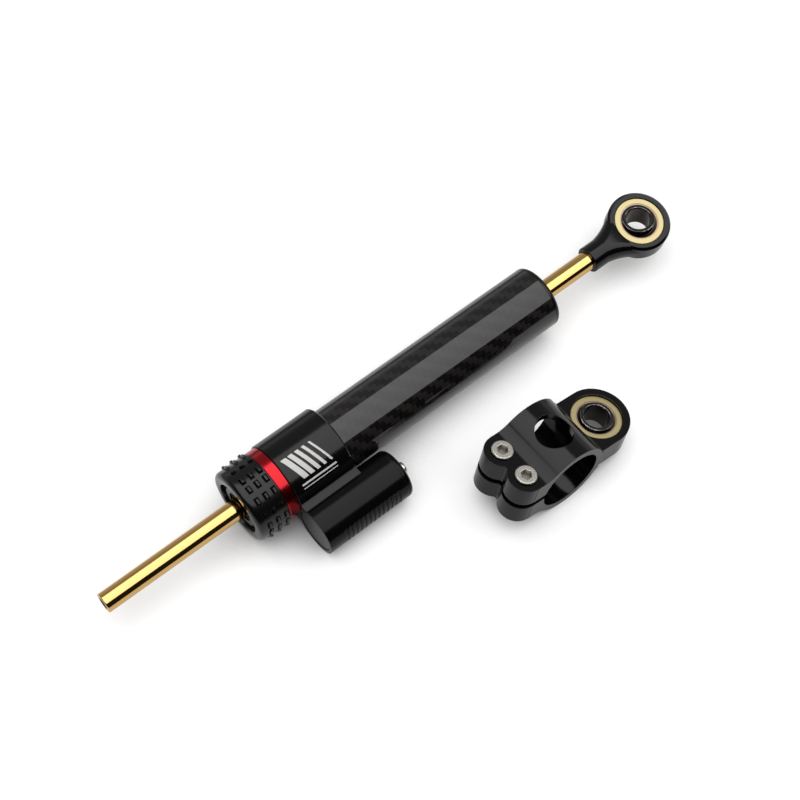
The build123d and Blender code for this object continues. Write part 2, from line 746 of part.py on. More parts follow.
def clamp_plan():
    """Top view of the clamp: square ring, round lug and two ear lobes with a waist between them."""
    plan = Pos((EAR_SCREW_U + LUG_U) / 2, 0) * Rectangle(LUG_U - EAR_SCREW_U, CLAMP_WIDTH)
    plan += Pos(LUG_U, 0) * Circle(LUG_R)
    plan += Sketch() + [Pos(EAR_SCREW_U, side) * Circle(EAR_LOBE_R) for side in screw_places()]
    step = CLAMP_WIDTH / 2 - LUG_R
    for side in (-1, 1):
        strip = Rectangle(2 * (LUG_U - CLAMP_R), 2 * step)
        plan -= Pos(LUG_U, side * CLAMP_WIDTH / 2) * strip
    waist = [v for v in plan.vertices() if v.X < EAR_SCREW_U and abs(v.Y) < EAR_LOBE_R / 2]
    return fillet(waist, LOBE_WAIST_ROUND)


def place_clamp(piece):
    """Lays a piece of the clamp down beside the damper, resting on its ring."""
    return Pos(CLAMP_X, CLAMP_Y, FLOOR_Z + CLAMP_R) * Rot(0, CLAMP_TILT_DEG, 0) * piece


def screw_seat_z():
    """Height of the screws' seats above the clamp's middle plane."""
    return EAR_HALF_HEIGHT - SCREW_SEAT_DEPTH


def screw_bores(side):
    """Counterbore, clearance hole and tapped hole of one clamp screw."""
    seat_z = screw_seat_z()
    seat = Pos(0, 0, seat_z + WIDE / 2) * Cylinder(SCREW_HEAD_R + SCREW_SEAT_GAP, WIDE)
    free_length = seat_z - SCREW_THREAD_TOP_Z + OVERCUT
    free_z = SCREW_THREAD_TOP_Z + free_length / 2
    free = Pos(0, 0, free_z) * Cylinder(SCREW_R + SCREW_HOLE_GAP, free_length)
    tapped = Pos(0, 0, -EAR_HALF_HEIGHT / 2) * Cylinder(SCREW_R, EAR_HALF_HEIGHT + 2 * OVERCUT)
    return [Pos(EAR_SCREW_U, side, 0) * cutter for cutter in (seat, free, tapped)]


def clamp_body():
    """Split clamp for the tube, with the lug that carries the second spherical bearing."""
    side = Plane(origin=(0, CLAMP_WIDTH / 2, 0), x_dir=(1, 0, 0), z_dir=(0, -1, 0))
    body = extrude(side * clamp_side_profile(), amount=CLAMP_WIDTH)
    body &= Pos(0, 0, -WIDE / 2) * extrude(clamp_plan(), amount=WIDE)
    body -= Rot(90, 0, 0) * Cylinder(TUBE_R, CLAMP_WIDTH + 2 * OVERCUT)
    body -= Pos(-WIDE / 2, 0, 0) * Box(WIDE, WIDE, CLAMP_SPLIT)
    body -= Pos(0, 0, CLAMP_R) * Cylinder(WINDOW_R, TUBE_R - OVERCUT)
    body -= Pos(LUG_U, 0, 0) * Cylinder(RACE_R, WIDE)
    for place in screw_places():
        body -= screw_bores(place)
    return place_clamp(body)


def cap_screw():
    """Socket-head cap screw, its head's seat at the origin."""
    head = Pos(0, 0, SCREW_HEAD_HEIGHT / 2) * Cylinder(SCREW_HEAD_R, SCREW_HEAD_HEIGHT)
    head = chamfer(head.edges().group_by(Axis.Z)[-1], SCREW_HEAD_BEVEL)
    key = extrude(RegularPolygon(SCREW_KEY_R, 6), amount=SCREW_KEY_DEPTH + OVERCUT)
    socket = Pos(0, 0, SCREW_HEAD_HEIGHT - SCREW_KEY_DEPTH) * key
    shank = Pos(0, 0, -SCREW_LENGTH / 2) * Cylinder(SCREW_R, SCREW_LENGTH)
    return head + shank - socket


def clamp_screws():
    """Two socket-head cap screws, side by side through the ears."""
    screws = [Pos(EAR_SCREW_U, side, screw_seat_z()) * cap_screw() for side in screw_places()]
    return place_clamp(Compound(children=screws))


def at_lug(piece):
    """Moves a bearing piece into the clamp's lug."""
    return place_clamp(Pos(LUG_U, 0, 0) * piece)


def build_pieces():
    """Every node of the damper by name."""
    seal_step = SEAL_LENGTH + SEAL_SPACING
    front_seal_x = FRONT_SEAL_SEAT_X - TURNING_GAP - SEAL_LENGTH
    rear_seal_x = REAR_SEAL_SEAT_X + TURNING_GAP
    return {
        "valve_head": valve_head(),
        "red_ring": red_ring(),
        "carbon_sleeve": carbon_sleeve(),
        "cylinder_tube": cylinder_tube(),
        "rear_end_cap": rear_end_cap(),
        "front_guide_bush": guide_bush(FRONT_SEAL_SEAT_X, FRONT_BUSH_SEAT_X - BUSH_END_GAP),
        "rear_guide_bush": guide_bush(REAR_BUSH_SEAT_X, REAR_SEAL_SEAT_X - BUSH_END_GAP),
        "front_rod_seal": lip_seal(front_seal_x, 1),
        "rear_rod_seal": lip_seal(rear_seal_x, -1),
        "front_wiper": lip_seal(front_seal_x - seal_step, -1),
        "rear_wiper": lip_seal(rear_seal_x + seal_step, 1),
        "head_o_ring": head_seal_ring(0),
        "cap_o_ring": ring_section(CAP_SEAL_X, CAP_SEAL_R, CAP_SEAL_WIRE_R),
        "reservoir_plug": reservoir_plug(),
        "reservoir_cap": reservoir_cap(),
        "charge_screw": charge_screw(),
        "charge_screw_washer": charge_screw_washer(),
        "knob_circlip": open_clip(
            CIRCLIP_X, CIRCLIP_THICKNESS, CIRCLIP_INNER_R, CIRCLIP_OUTER_R, CIRCLIP_MOUTH
        ),
        "sleeve_key_pin": sleeve_key_pin(),
        "detent_ball": detent_ball(),
        "detent_spring": detent_spring(),
        "adjuster_knob": adjuster_knob(),
        "metering_sleeve": metering_sleeve(),
        "metering_sleeve_o_ring": ring_section(SLEEVE_SEAL_X, SLEEVE_SEAL_R, SLEEVE_SEAL_WIRE_R),
        "floating_piston": floating_piston(),
        "floating_piston_o_ring": at_reservoir(
            ring_section(FLOAT_SEAL_X, FLOAT_SEAL_R, FLOAT_SEAL_WIRE_R)
        ),
        "compensator_spring": compensator_spring(),
        "piston": piston(),
        "piston_ring": piston_ring(),
        "piston_shims": piston_shims(),
        "damper_rod": damper_rod(),
        "piston_circlips": piston_circlips(),
        "rod_end_housing": rolled(rod_end_housing()),
        "rod_end_race": rolled(bearing_race()),
        "rod_end_liner": rolled(bearing_liner()),
        "rod_end_ball": bearing_ball(),
        "clamp_body": clamp_body(),
        "clamp_screws": clamp_screws(),
        "clamp_race": at_lug(bearing_race()),
        "clamp_liner": at_lug(bearing_liner()),
        "clamp_ball": at_lug(bearing_ball()),
    }


os.makedirs("parts", exist_ok=True)
for node, solid in build_pieces().items():
    export_step(solid, f"parts/{node}.step")
    print(node, "volume", round(solid.volume, 1), "mm3")
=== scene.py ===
# %% [markdown]
# This scene dresses a motorcycle steering damper and its loose frame clamp, lying on a white table.
# The rigid parts come packed from the CAD side, each at its true place, so the lesson is about
# three things: light that suits glossy black metal, materials made of nodes, and a few pieces
# whose fine shape is worth modelling again. Everything is in metres, X runs along the damper.

import json
import math

import bpy
from mathutils import Matrix, Vector


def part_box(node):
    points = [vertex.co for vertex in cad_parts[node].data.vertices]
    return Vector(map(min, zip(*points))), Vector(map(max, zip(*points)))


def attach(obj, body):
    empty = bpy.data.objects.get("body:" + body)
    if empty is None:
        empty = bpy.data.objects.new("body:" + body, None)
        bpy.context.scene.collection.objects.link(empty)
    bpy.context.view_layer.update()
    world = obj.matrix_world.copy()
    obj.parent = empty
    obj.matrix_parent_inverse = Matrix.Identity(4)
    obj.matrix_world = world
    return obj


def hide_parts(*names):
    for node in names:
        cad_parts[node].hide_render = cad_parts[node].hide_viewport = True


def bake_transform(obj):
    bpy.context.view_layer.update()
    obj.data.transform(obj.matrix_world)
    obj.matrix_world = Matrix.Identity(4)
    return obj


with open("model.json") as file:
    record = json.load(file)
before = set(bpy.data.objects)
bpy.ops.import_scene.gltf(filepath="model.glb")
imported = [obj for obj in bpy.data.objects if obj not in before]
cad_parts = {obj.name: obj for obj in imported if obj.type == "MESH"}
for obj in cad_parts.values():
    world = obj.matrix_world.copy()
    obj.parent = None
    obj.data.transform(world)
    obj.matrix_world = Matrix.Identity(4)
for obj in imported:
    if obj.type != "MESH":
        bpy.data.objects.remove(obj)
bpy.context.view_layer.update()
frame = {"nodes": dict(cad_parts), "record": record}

# %% [markdown]
# The camera looks down on the table from the rod's tip side. A long lens keeps the damper's two
# ends at nearly the same scale. Its place is given by three directions, because a rotation made
# from them can't be mistaken: right and up lie in the picture, and the lens looks along neither.

# %% Camera
LENS_MM = 76.5
CAMERA_PLACE = Vector((-0.3253, -0.2478, 0.5646))
CAMERA_RIGHT = Vector((0.77528, -0.63162, 0.0))
CAMERA_UP = Vector((0.55086, 0.67616, 0.48925))

camera_data = bpy.data.cameras.new("camera")
camera_data.lens = LENS_MM
camera = bpy.data.objects.new("camera", camera_data)
bpy.context.scene.collection.objects.link(camera)
camera_back = CAMERA_RIGHT.cross(CAMERA_UP)
turn = Matrix((CAMERA_RIGHT, CAMERA_UP, camera_back)).transposed()
camera.matrix_world = Matrix.Translation(CAMERA_PLACE) @ turn.to_4x4()
bpy.context.scene.camera = camera
bpy.context.scene.view_settings.view_transform = "Standard"
print("camera looks along", [round(-value, 3) for value in camera_back])

# %% [markdown]
# A node tree is easier to read when each node takes one line. These helpers add a node, set its
# properties, and link or set its inputs, so a material reads as a list of what feeds what.

# %% Helpers for node trees
def add_node(tree, kind, inputs=None, **settings):
    """Adds one node. Inputs are given by name or number, as a socket to link or a value to set."""
    made = tree.nodes.new(kind)
    for name, value in settings.items():
        setattr(made, name, value)
    for key, value in (inputs or {}).items():
        if isinstance(value, bpy.types.NodeSocket):
            tree.links.new(value, made.inputs[key])
        else:
            made.inputs[key].default_value = value
    return made


def maths(tree, operation, *values):
    """One Math node on numbers or sockets."""
    return add_node(tree, "ShaderNodeMath", dict(enumerate(values)), operation=operation).outputs[0]


def smooth_step(tree, value, low, high):
    """0 below low and 1 above high, with a smooth rise between."""
    inputs = {"Value": value, "From Min": low, "From Max": high}
    made = add_node(tree, "ShaderNodeMapRange", inputs, interpolation_type="SMOOTHSTEP")
    return made.outputs["Result"]


def blend_colours(tree, factor, first, second):
    """Mixes two colours by a factor from 0 to 1."""
    made = tree.nodes.new("ShaderNodeMix")
    made.data_type = "RGBA"
    for index, value in ((0, factor), (6, first), (7, second)):
        if isinstance(value, bpy.types.NodeSocket):
            tree.links.new(value, made.inputs[index])
        else:
            made.inputs[index].default_value = value
    return made.outputs[2]


def new_group(name, inputs, outputs):
    """An empty shader group with named inputs (name, kind, value) and outputs (name, kind)."""
    tree = bpy.data.node_groups.new(name, "ShaderNodeTree")
    for label, kind, value in inputs:
        socket = tree.interface.new_socket(label, in_out="INPUT", socket_type=kind)
        if value is not None:
            socket.default_value = value
    for label, kind in outputs:
        tree.interface.new_socket(label, in_out="OUTPUT", socket_type=kind)
    return tree, tree.nodes.new("NodeGroupInput"), tree.nodes.new("NodeGroupOutput")


def use_group(tree, group, **inputs):
    """Places a group in a material with its own values."""
    made = tree.nodes.new("ShaderNodeGroup")
    made.node_tree = group
    for label, value in inputs.items():
        key = label.replace("_", " ").capitalize()
        if isinstance(value, bpy.types.NodeSocket):
            tree.links.new(value, made.inputs[key])
        else:
            made.inputs[key].default_value = value
    return made


def grey(value):
    """An opaque neutral colour."""
    return (value, value, value, 1.0)


print("helpers ready")

# %% [markdown]
# Glossy black shows nothing but what stands round it, so the light is the most important choice.
# The photograph's reflections fit one big softbox over the table, in line with the camera: its
# mirror image is the broad grey band on the tube. The room on the camera's side is dark, which
# gives the black band below it, and the room behind is a dull grey.

# %% Softbox
SOFTBOX_HEIGHT = 2.1
SOFTBOX_SIZE = (5.0, 2.72)
SOFTBOX_ALONG_RIGHT = 0.9
SOFTBOX_AHEAD = -0.19
SOFTBOX_RADIANCE = 2.0
AHEAD = Vector((0.63162, 0.77528, 0.0))

softbox_data = bpy.data.lights.new("softbox", "AREA")
softbox_data.shape = "RECTANGLE"
softbox_data.size, softbox_data.size_y = SOFTBOX_SIZE
softbox_area = SOFTBOX_SIZE[0] * SOFTBOX_SIZE[1]
softbox_data.energy = SOFTBOX_RADIANCE * math.pi * softbox_area
softbox = bpy.data.objects.new("softbox", softbox_data)
bpy.context.scene.collection.objects.link(softbox)
softbox.location = CAMERA_RIGHT * SOFTBOX_ALONG_RIGHT + AHEAD * SOFTBOX_AHEAD
softbox.location.z = SOFTBOX_HEIGHT
softbox.rotation_euler = (0.0, 0.0, math.atan2(CAMERA_RIGHT.y, CAMERA_RIGHT.x))
print("softbox of", SOFTBOX_SIZE, "m at", [round(value, 2) for value in softbox.location])

# %% [markdown]
# The world is the studio round the table. A low view looks past the table at the horizon, which
# is white there for a white background. Above it the room is a dull grey behind the table and
# near black on the camera's side. The photograph's reflections are of such a dim room, so a
# reflection sees only a share of the horizon's white, and only behind the table. Generated is the
# direction of the view here, since a world has no surface.

# %% Studio room
HORIZON_TOP = 0.16
HORIZON_FADE = 0.30
ROOM_BEHIND = 0.32
ROOM_IN_FRONT = 0.015
BEHIND_FADE = 0.35
REFLECTED_SHARE = 0.38

world = bpy.data.worlds.new("studio")
bpy.context.scene.world = world
world.use_nodes = True
tree = world.node_tree
tree.nodes.clear()
direction = add_node(tree, "ShaderNodeTexCoord").outputs["Generated"]
height = add_node(tree, "ShaderNodeSeparateXYZ", {0: direction}).outputs["Z"]
towards_back = add_node(
    tree, "ShaderNodeVectorMath", {0: direction, 1: AHEAD}, operation="DOT_PRODUCT"
).outputs["Value"]
behind = smooth_step(tree, towards_back, -BEHIND_FADE, BEHIND_FADE)
room = blend_colours(tree, behind, grey(ROOM_IN_FRONT), grey(ROOM_BEHIND))
rays = add_node(tree, "ShaderNodeLightPath").outputs
direct = maths(tree, "MAXIMUM", rays["Is Camera Ray"], rays["Is Transmission Ray"])
mirrored = maths(tree, "MULTIPLY", rays["Is Glossy Ray"], REFLECTED_SHARE)
seen = maths(tree, "MAXIMUM", direct, maths(tree, "MULTIPLY", mirrored, behind))
below = maths(tree, "SUBTRACT", 1.0, smooth_step(tree, height, HORIZON_TOP, HORIZON_FADE))
sky = blend_colours(tree, maths(tree, "MULTIPLY", below, seen), room, grey(1.0))
background = add_node(tree, "ShaderNodeBackground", {"Color": sky, "Strength": 1.0})
add_node(tree, "ShaderNodeOutputWorld", {"Surface": background.outputs[0]})
print("room is", ROOM_BEHIND, "behind and", ROOM_IN_FRONT, "in front")

# %% [markdown]
# The table is one disc. Near the object it is a matt surface that takes the softbox's light and
# the shadows, with some added white for rays that see it, so that the shadows stay pale. Close
# under the object an occlusion value takes the added white away, for tight contact shadows.
# Further out the added white takes over, and the table melts into the white horizon. In a
# reflection the lit sheet ends sooner, because the real room was dim beyond it.

# %% Table
TABLE_Z = -0.016
TABLE_RADIUS = 1.6
TABLE_SEGMENTS = 96
TABLE_CENTRE = (-0.13, -0.02, 0.0)
TABLE_LIT_COLOUR = 0.58
TABLE_ADDED_WHITE = 0.53
MELT_START, MELT_END = 0.28, 0.75
COVER_REACH = 0.028
COVER_CLOSED, COVER_OPEN = 0.22, 0.8
COVERED_SHARE = 0.05
SHEET_HALF_WIDTH = 0.085
SHEET_FADE_END = 0.125
FAR_SHEET_BEHIND = 0.2
FAR_SHEET_IN_FRONT = 0.012
FAR_SHEET_FADE = 0.05

bpy.ops.object.select_all(action="DESELECT")
bpy.ops.mesh.primitive_circle_add(
    vertices=TABLE_SEGMENTS,
    radius=TABLE_RADIUS,
    fill_type="NGON",
    location=(TABLE_CENTRE[0], TABLE_CENTRE[1], TABLE_Z),
)
table = bpy.context.object
table.name = "table"
bpy.ops.object.transform_apply(location=True, rotation=True, scale=True)

table_material = bpy.data.materials.new("table_white")
table_material.use_nodes = True
tree = table_material.node_tree
tree.nodes.clear()
place = add_node(tree, "ShaderNodeTexCoord").outputs["Object"]
distance = add_node(
    tree, "ShaderNodeVectorMath", {0: place, 1: TABLE_CENTRE}, operation="DISTANCE"
).outputs["Value"]
far = smooth_step(tree, distance, MELT_START, MELT_END)
rays = add_node(tree, "ShaderNodeLightPath").outputs
direct = maths(tree, "MAXIMUM", rays["Is Camera Ray"], rays["Is Transmission Ray"])
mirrored = maths(tree, "MULTIPLY", rays["Is Glossy Ray"], REFLECTED_SHARE)
seen = maths(tree, "MAXIMUM", direct, mirrored)
cover = add_node(tree, "ShaderNodeAmbientOcclusion", {"Distance": COVER_REACH}, samples=6)
open_share = smooth_step(tree, cover.outputs["AO"], COVER_CLOSED, COVER_OPEN)
open_share = add_node(
    tree, "ShaderNodeMapRange", {"Value": open_share, "To Min": COVERED_SHARE, "To Max": 1.0}
).outputs["Result"]
lit_colour = blend_colours(tree, far, grey(TABLE_LIT_COLOUR), grey(0.0))
added = add_node(
    tree, "ShaderNodeMapRange", {"Value": far, "To Min": TABLE_ADDED_WHITE, "To Max": 1.0}
).outputs["Result"]
glow_strength = maths(tree, "MULTIPLY", maths(tree, "MULTIPLY", added, seen), open_share)
matt = add_node(tree, "ShaderNodeBsdfDiffuse", {"Color": lit_colour})
glow = add_node(tree, "ShaderNodeEmission", {"Color": grey(1.0), "Strength": glow_strength})
both = add_node(tree, "ShaderNodeAddShader", {0: matt.outputs[0], 1: glow.outputs[0]})
sideways = add_node(tree, "ShaderNodeSeparateXYZ", {0: place}).outputs["Y"]
past_sheet = smooth_step(
    tree, maths(tree, "ABSOLUTE", sideways), SHEET_HALF_WIDTH, SHEET_FADE_END
)
on_far_side = smooth_step(tree, sideways, -FAR_SHEET_FADE, FAR_SHEET_FADE)
dim = blend_colours(tree, on_far_side, grey(FAR_SHEET_IN_FRONT), grey(FAR_SHEET_BEHIND))
dim_sheet = add_node(tree, "ShaderNodeEmission", {"Color": dim})
in_mirror = maths(tree, "MULTIPLY", rays["Is Glossy Ray"], past_sheet)
surface = add_node(
    tree, "ShaderNodeMixShader", {0: in_mirror, 1: both.outputs[0], 2: dim_sheet.outputs[0]}
)
add_node(tree, "ShaderNodeOutputMaterial", {"Surface": surface.outputs[0]})
table.data.materials.append(table_material)
print("table disc of", TABLE_RADIUS, "m at height", TABLE_Z)

# %% [markdown]
# Anodised, polished and cast surfaces all carry a fine grain that breaks up a reflection's edge.
# One group makes it for every material: a noise at a size given in metres, on the object's own
# coordinates, so it stays on the surface when the part moves.

# %% Group: fine grain
group_grain, entry, leave = new_group(
    "fine_grain",
    [("Vector", "NodeSocketVector", None), ("Size", "NodeSocketFloat", 0.0004)],
    [("Grain", "NodeSocketFloat")],
)
scale = maths(group_grain, "DIVIDE", 1.0, entry.outputs["Size"])
speckle = add_node(
    group_grain,
    "ShaderNodeTexNoise",
    {"Vector": entry.outputs["Vector"], "Scale": scale, "Detail": 3.0, "Roughness": 0.6},
)
group_grain.links.new(speckle.outputs["Fac"], leave.inputs["Grain"])
print("group", group_grain.name)

# %% [markdown]
# Real edges are never knife sharp. The Bevel node bends the normal near an edge as if it were
# rounded, and where that normal leaves the flat one there is an edge. The group gives both: the
# rounded normal for the highlight, and a mask for the slightly lighter, worn anodising. The plain
# finishes use the same mask for a painted highlight on their rims.

# %% Group: worn edges
BEND_SEEN, BEND_FULL = 0.01, 0.12
WEAR_STARTS, WEAR_FULL = 0.35, 0.65

group_edges, entry, leave = new_group(
    "edge_wear_and_highlight",
    [
        ("Vector", "NodeSocketVector", None),
        ("Radius", "NodeSocketFloat", 0.0003),
        ("Patches", "NodeSocketFloat", 0.003),
    ],
    [("Edge", "NodeSocketFloat"), ("Normal", "NodeSocketVector")],
)
rounded = add_node(
    group_edges, "ShaderNodeBevel", {"Radius": entry.outputs["Radius"]}, samples=6
).outputs["Normal"]
flat = add_node(group_edges, "ShaderNodeNewGeometry").outputs["Normal"]
agreement = add_node(
    group_edges, "ShaderNodeVectorMath", {0: rounded, 1: flat}, operation="DOT_PRODUCT"
).outputs["Value"]
bend = maths(group_edges, "SUBTRACT", 1.0, agreement)
edge = smooth_step(group_edges, bend, BEND_SEEN, BEND_FULL)
patch_scale = maths(group_edges, "DIVIDE", 1.0, entry.outputs["Patches"])
patches = add_node(
    group_edges,
    "ShaderNodeTexNoise",
    {"Vector": entry.outputs["Vector"], "Scale": patch_scale, "Detail": 2.0},
).outputs["Fac"]
patchy = smooth_step(group_edges, patches, WEAR_STARTS, WEAR_FULL)
# This mask is real wear on the anodising and a painted highlight on the plain finishes' rims.
worn = maths(group_edges, "MULTIPLY", edge, patchy)
group_edges.links.new(worn, leave.inputs["Edge"])
group_edges.links.new(rounded, leave.inputs["Normal"])
print("group", group_edges.name)

# %% [markdown]
# Occlusion tells open places (1) from hollows (0), so that shade can be painted into the hollows:
# the plain finishes darken their colour there, such as the socket of a screw, and the knob's
# coat leaves the ground between its teeth dull and dark.

# %% Group: open places
group_open, entry, leave = new_group(
    "open_places",
    [
        ("Reach", "NodeSocketFloat", 0.002),
        ("Closed", "NodeSocketFloat", 0.3),
        ("Free", "NodeSocketFloat", 0.8),
    ],
    [("Open", "NodeSocketFloat")],
)
hollow_shade = add_node(
    group_open, "ShaderNodeAmbientOcclusion", {"Distance": entry.outputs["Reach"]}, samples=4
)
# Painted shade: this occlusion value is what darkens the hollows.
openness = smooth_step(
    group_open, hollow_shade.outputs["AO"], entry.outputs["Closed"], entry.outputs["Free"]
)
group_open.links.new(openness, leave.inputs["Open"])
print("group", group_open.name)

# %% [markdown]
# Turned parts keep very fine tool marks: rings round the axis on the outside, and circles on the
# end faces. Both come from a one-dimensional noise, one read along X and one along the radius.

# %% Group: turned marks
group_turned, entry, leave = new_group(
    "turned_marks",
    [("Vector", "NodeSocketVector", None), ("Pitch", "NodeSocketFloat", 0.0002)],
    [("Marks", "NodeSocketFloat")],
)
parts = add_node(group_turned, "ShaderNodeSeparateXYZ", {0: entry.outputs["Vector"]}).outputs
square_y = maths(group_turned, "POWER", parts["Y"], 2.0)
square_z = maths(group_turned, "POWER", parts["Z"], 2.0)
radius = maths(group_turned, "SQRT", maths(group_turned, "ADD", square_y, square_z))
marks = []
for reading in (parts["X"], radius):
    position = maths(group_turned, "DIVIDE", reading, entry.outputs["Pitch"])
    line = add_node(
        group_turned,
        "ShaderNodeTexNoise",
        {"W": position, "Scale": 1.0, "Detail": 2.0},
        noise_dimensions="1D",
    )
    marks.append(line.outputs["Fac"])
average = maths(group_turned, "MULTIPLY", maths(group_turned, "ADD", *marks), 0.5)
group_turned.links.new(average, leave.inputs["Marks"])
print("group", group_turned.name)

# %% [markdown]
# Carbon cloth is a two-by-two twill: each flat bundle of fibres runs over two and under two, one
# step further in the next row, which draws the diagonal. Round a tube the cloth's one direction
# is X and the other is the angle. The group counts bundles both ways, decides which lies on top,
# and gives its crowned height. A whole multiple of four bundles closes the seam.

# %% Group: twill weave
TWILL_REPEAT = 4.0
TWILL_ON_TOP = 2
RISE_SHARE = 0.6
FIBRES_PER_BUNDLE = 9.0

group_twill, entry, leave = new_group(
    "twill_weave",
    [
        ("Vector", "NodeSocketVector", None),
        ("Bundles", "NodeSocketFloat", 40.0),
        ("Width", "NodeSocketFloat", 0.002),
    ],
    [
        ("Lengthwise", "NodeSocketFloat"),
        ("Height", "NodeSocketFloat"),
        ("Fibres", "NodeSocketFloat"),
    ],
)
parts = add_node(group_twill, "ShaderNodeSeparateXYZ", {0: entry.outputs["Vector"]}).outputs
angle = maths(group_twill, "ARCTAN2", parts["Y"], parts["Z"])
turns = maths(group_twill, "DIVIDE", angle, 2 * math.pi)
around = maths(group_twill, "MULTIPLY", turns, entry.outputs["Bundles"])
along = maths(group_twill, "DIVIDE", parts["X"], entry.outputs["Width"])
steps = maths(
    group_twill,
    "ADD",
    maths(group_twill, "FLOOR", around),
    maths(group_twill, "FLOOR", along),
)
step = maths(group_twill, "FLOORED_MODULO", steps, TWILL_REPEAT)
lengthwise = maths(group_twill, "LESS_THAN", step, TWILL_ON_TOP - 0.5)
within_around = maths(group_twill, "FRACT", around)
within_along = maths(group_twill, "FRACT", along)


def crown(value):
    """Height of a bundle across its width, 0 at its edges and 1 in its middle."""
    rest = maths(group_twill, "SUBTRACT", 1.0, value)
    return maths(group_twill, "MULTIPLY", maths(group_twill, "MULTIPLY", value, rest), 4.0)


def over(start, within):
    """Height of a bundle along the two steps that it lies on top."""
    travelled = maths(group_twill, "ADD", maths(group_twill, "SUBTRACT", step, start), within)
    return maths(
        group_twill, "SINE", maths(group_twill, "MULTIPLY", travelled, math.pi / TWILL_ON_TOP)
    )


def pick(factor, when_one, when_zero):
    """One of two values, chosen by a mask."""
    made = add_node(group_twill, "ShaderNodeMix", {0: factor, 2: when_zero, 3: when_one})
    return made.outputs[0]


across_height = pick(lengthwise, crown(within_around), crown(within_along))
over_height = pick(
    lengthwise, over(0.0, within_along), over(float(TWILL_ON_TOP), within_around)
)
raised = maths(group_twill, "MULTIPLY_ADD", over_height, RISE_SHARE, 1.0 - RISE_SHARE)
bundle_height = maths(group_twill, "MULTIPLY", across_height, raised)
strand = pick(lengthwise, around, along)
fibres = add_node(
    group_twill,
    "ShaderNodeTexNoise",
    {"W": strand, "Scale": FIBRES_PER_BUNDLE, "Detail": 2.0},
    noise_dimensions="1D",
).outputs["Fac"]
group_twill.links.new(lengthwise, leave.inputs["Lengthwise"])
group_twill.links.new(bundle_height, leave.inputs["Height"])
group_twill.links.new(fibres, leave.inputs["Fibres"])
print("group", group_twill.name)

# %% [markdown]
# Every finish below starts the same way: a Principled shader, the object's own coordinates, and
# an output. Values that are the same all over the surface are set on the shader's own sockets.
# The coordinates are moved to the middle of the piece that was turned, so its marks run round it.

# %% Helper: start a material
def start_material(name, centre=(0.0, 0.0, 0.0), **sockets):
    """A new material; gives its tree, its shader and its coordinates moved to a centre."""
    material = bpy.data.materials.new(name)
    material.use_nodes = True
    tree = material.node_tree
    tree.nodes.clear()
    shader = tree.nodes.new("ShaderNodeBsdfPrincipled")
    for label, value in sockets.items():
        shader.inputs[label.replace("_", " ")].default_value = value
    coordinates = add_node(tree, "ShaderNodeTexCoord").outputs["Object"]
    place = add_node(
        tree, "ShaderNodeMapping", {"Vector": coordinates, "Location": [-v for v in centre]}
    ).outputs["Vector"]
    add_node(tree, "ShaderNodeOutputMaterial", {"Surface": shader.outputs[0]})
    return material, tree, shader, place


def spread(tree, value, low, high):
    """Maps a value from 0 to 1 onto low to high."""
    inputs = {"Value": value, "To Min": low, "To Max": high}
    return add_node(tree, "ShaderNodeMapRange", inputs).outputs["Result"]


def bump(tree, height, distance, normal=None):
    """A Bump node at full strength; distance is in metres."""
    inputs = {"Height": height, "Distance": distance, "Strength": 1.0}
    if normal is not None:
        inputs["Normal"] = normal
    return add_node(tree, "ShaderNodeBump", inputs).outputs["Normal"]


RESERVOIR_CENTRE = (0.0, -0.0229, -0.0059)
CLAMP_CENTRE = (-0.0977, -0.0548, -0.0001)
print("material helpers ready")

# %% [markdown]
# Black anodising is a hard, dyed oxide over aluminium. It reflects like dark glass with a very
# fine grain, and its outer edges wear to a dull grey. Head, caps, rod end and clamp share it.
# They differ in the centre and weight of their turned marks, and the reservoir in its gloss.

# %% Finish: black anodising
DYE_DARK = (0.0009, 0.0009, 0.0010, 1.0)
DYE_LIGHT = (0.0034, 0.0032, 0.0032, 1.0)
WORN_GREY = (0.15, 0.145, 0.14, 1.0)
BLACK_WEAR = 0.22
BLACK_SMOOTH, BLACK_ROUGH = 0.08, 0.17


def black_anodised(name, centre=(0.0, 0.0, 0.0), marks=0.5, gloss=0.3):
    """Black anodised aluminium with grain, faint turned marks and worn edges."""
    material, tree, shader, place = start_material(name, centre, Specular_IOR_Level=gloss)
    grain = use_group(tree, group_grain, vector=place, size=0.00035).outputs["Grain"]
    lines = use_group(tree, group_turned, vector=place, pitch=0.00012).outputs["Marks"]
    edges = use_group(tree, group_edges, vector=place, radius=0.00035, patches=0.004)
    dye = blend_colours(tree, grain, DYE_DARK, DYE_LIGHT)
    worn = maths(tree, "MULTIPLY", edges.outputs["Edge"], BLACK_WEAR)
    colour = blend_colours(tree, worn, dye, WORN_GREY)
    mixed = maths(tree, "ADD", maths(tree, "MULTIPLY", lines, marks), grain)
    tree.links.new(colour, shader.inputs["Base Color"])
    roughness = spread(tree, mixed, BLACK_SMOOTH, BLACK_ROUGH)
    tree.links.new(roughness, shader.inputs["Roughness"])
    normal = bump(tree, mixed, 0.000003, edges.outputs["Normal"])
    tree.links.new(normal, shader.inputs["Normal"])
    return material, tree, shader, place, colour


rod_end_black = black_anodised("rod_end_black", marks=0.0)[0]
clamp_black = black_anodised("clamp_black", centre=CLAMP_CENTRE, marks=0.0)[0]
cap_black = black_anodised("cap_black", marks=0.8)[0]
reservoir_black = black_anodised(
    "reservoir_black", centre=RESERVOIR_CENTRE, marks=0.8, gloss=0.16
)[0]
print("black finishes ready")

# %% [markdown]
# The head carries pale laser marks. Here they are of a generic kind: a row of slanted bars that
# thin out, and two fine lines under it. The marks follow the round collar, so they are drawn in
# its own terms: the station along X and the arc length round it, both counted in patch steps.

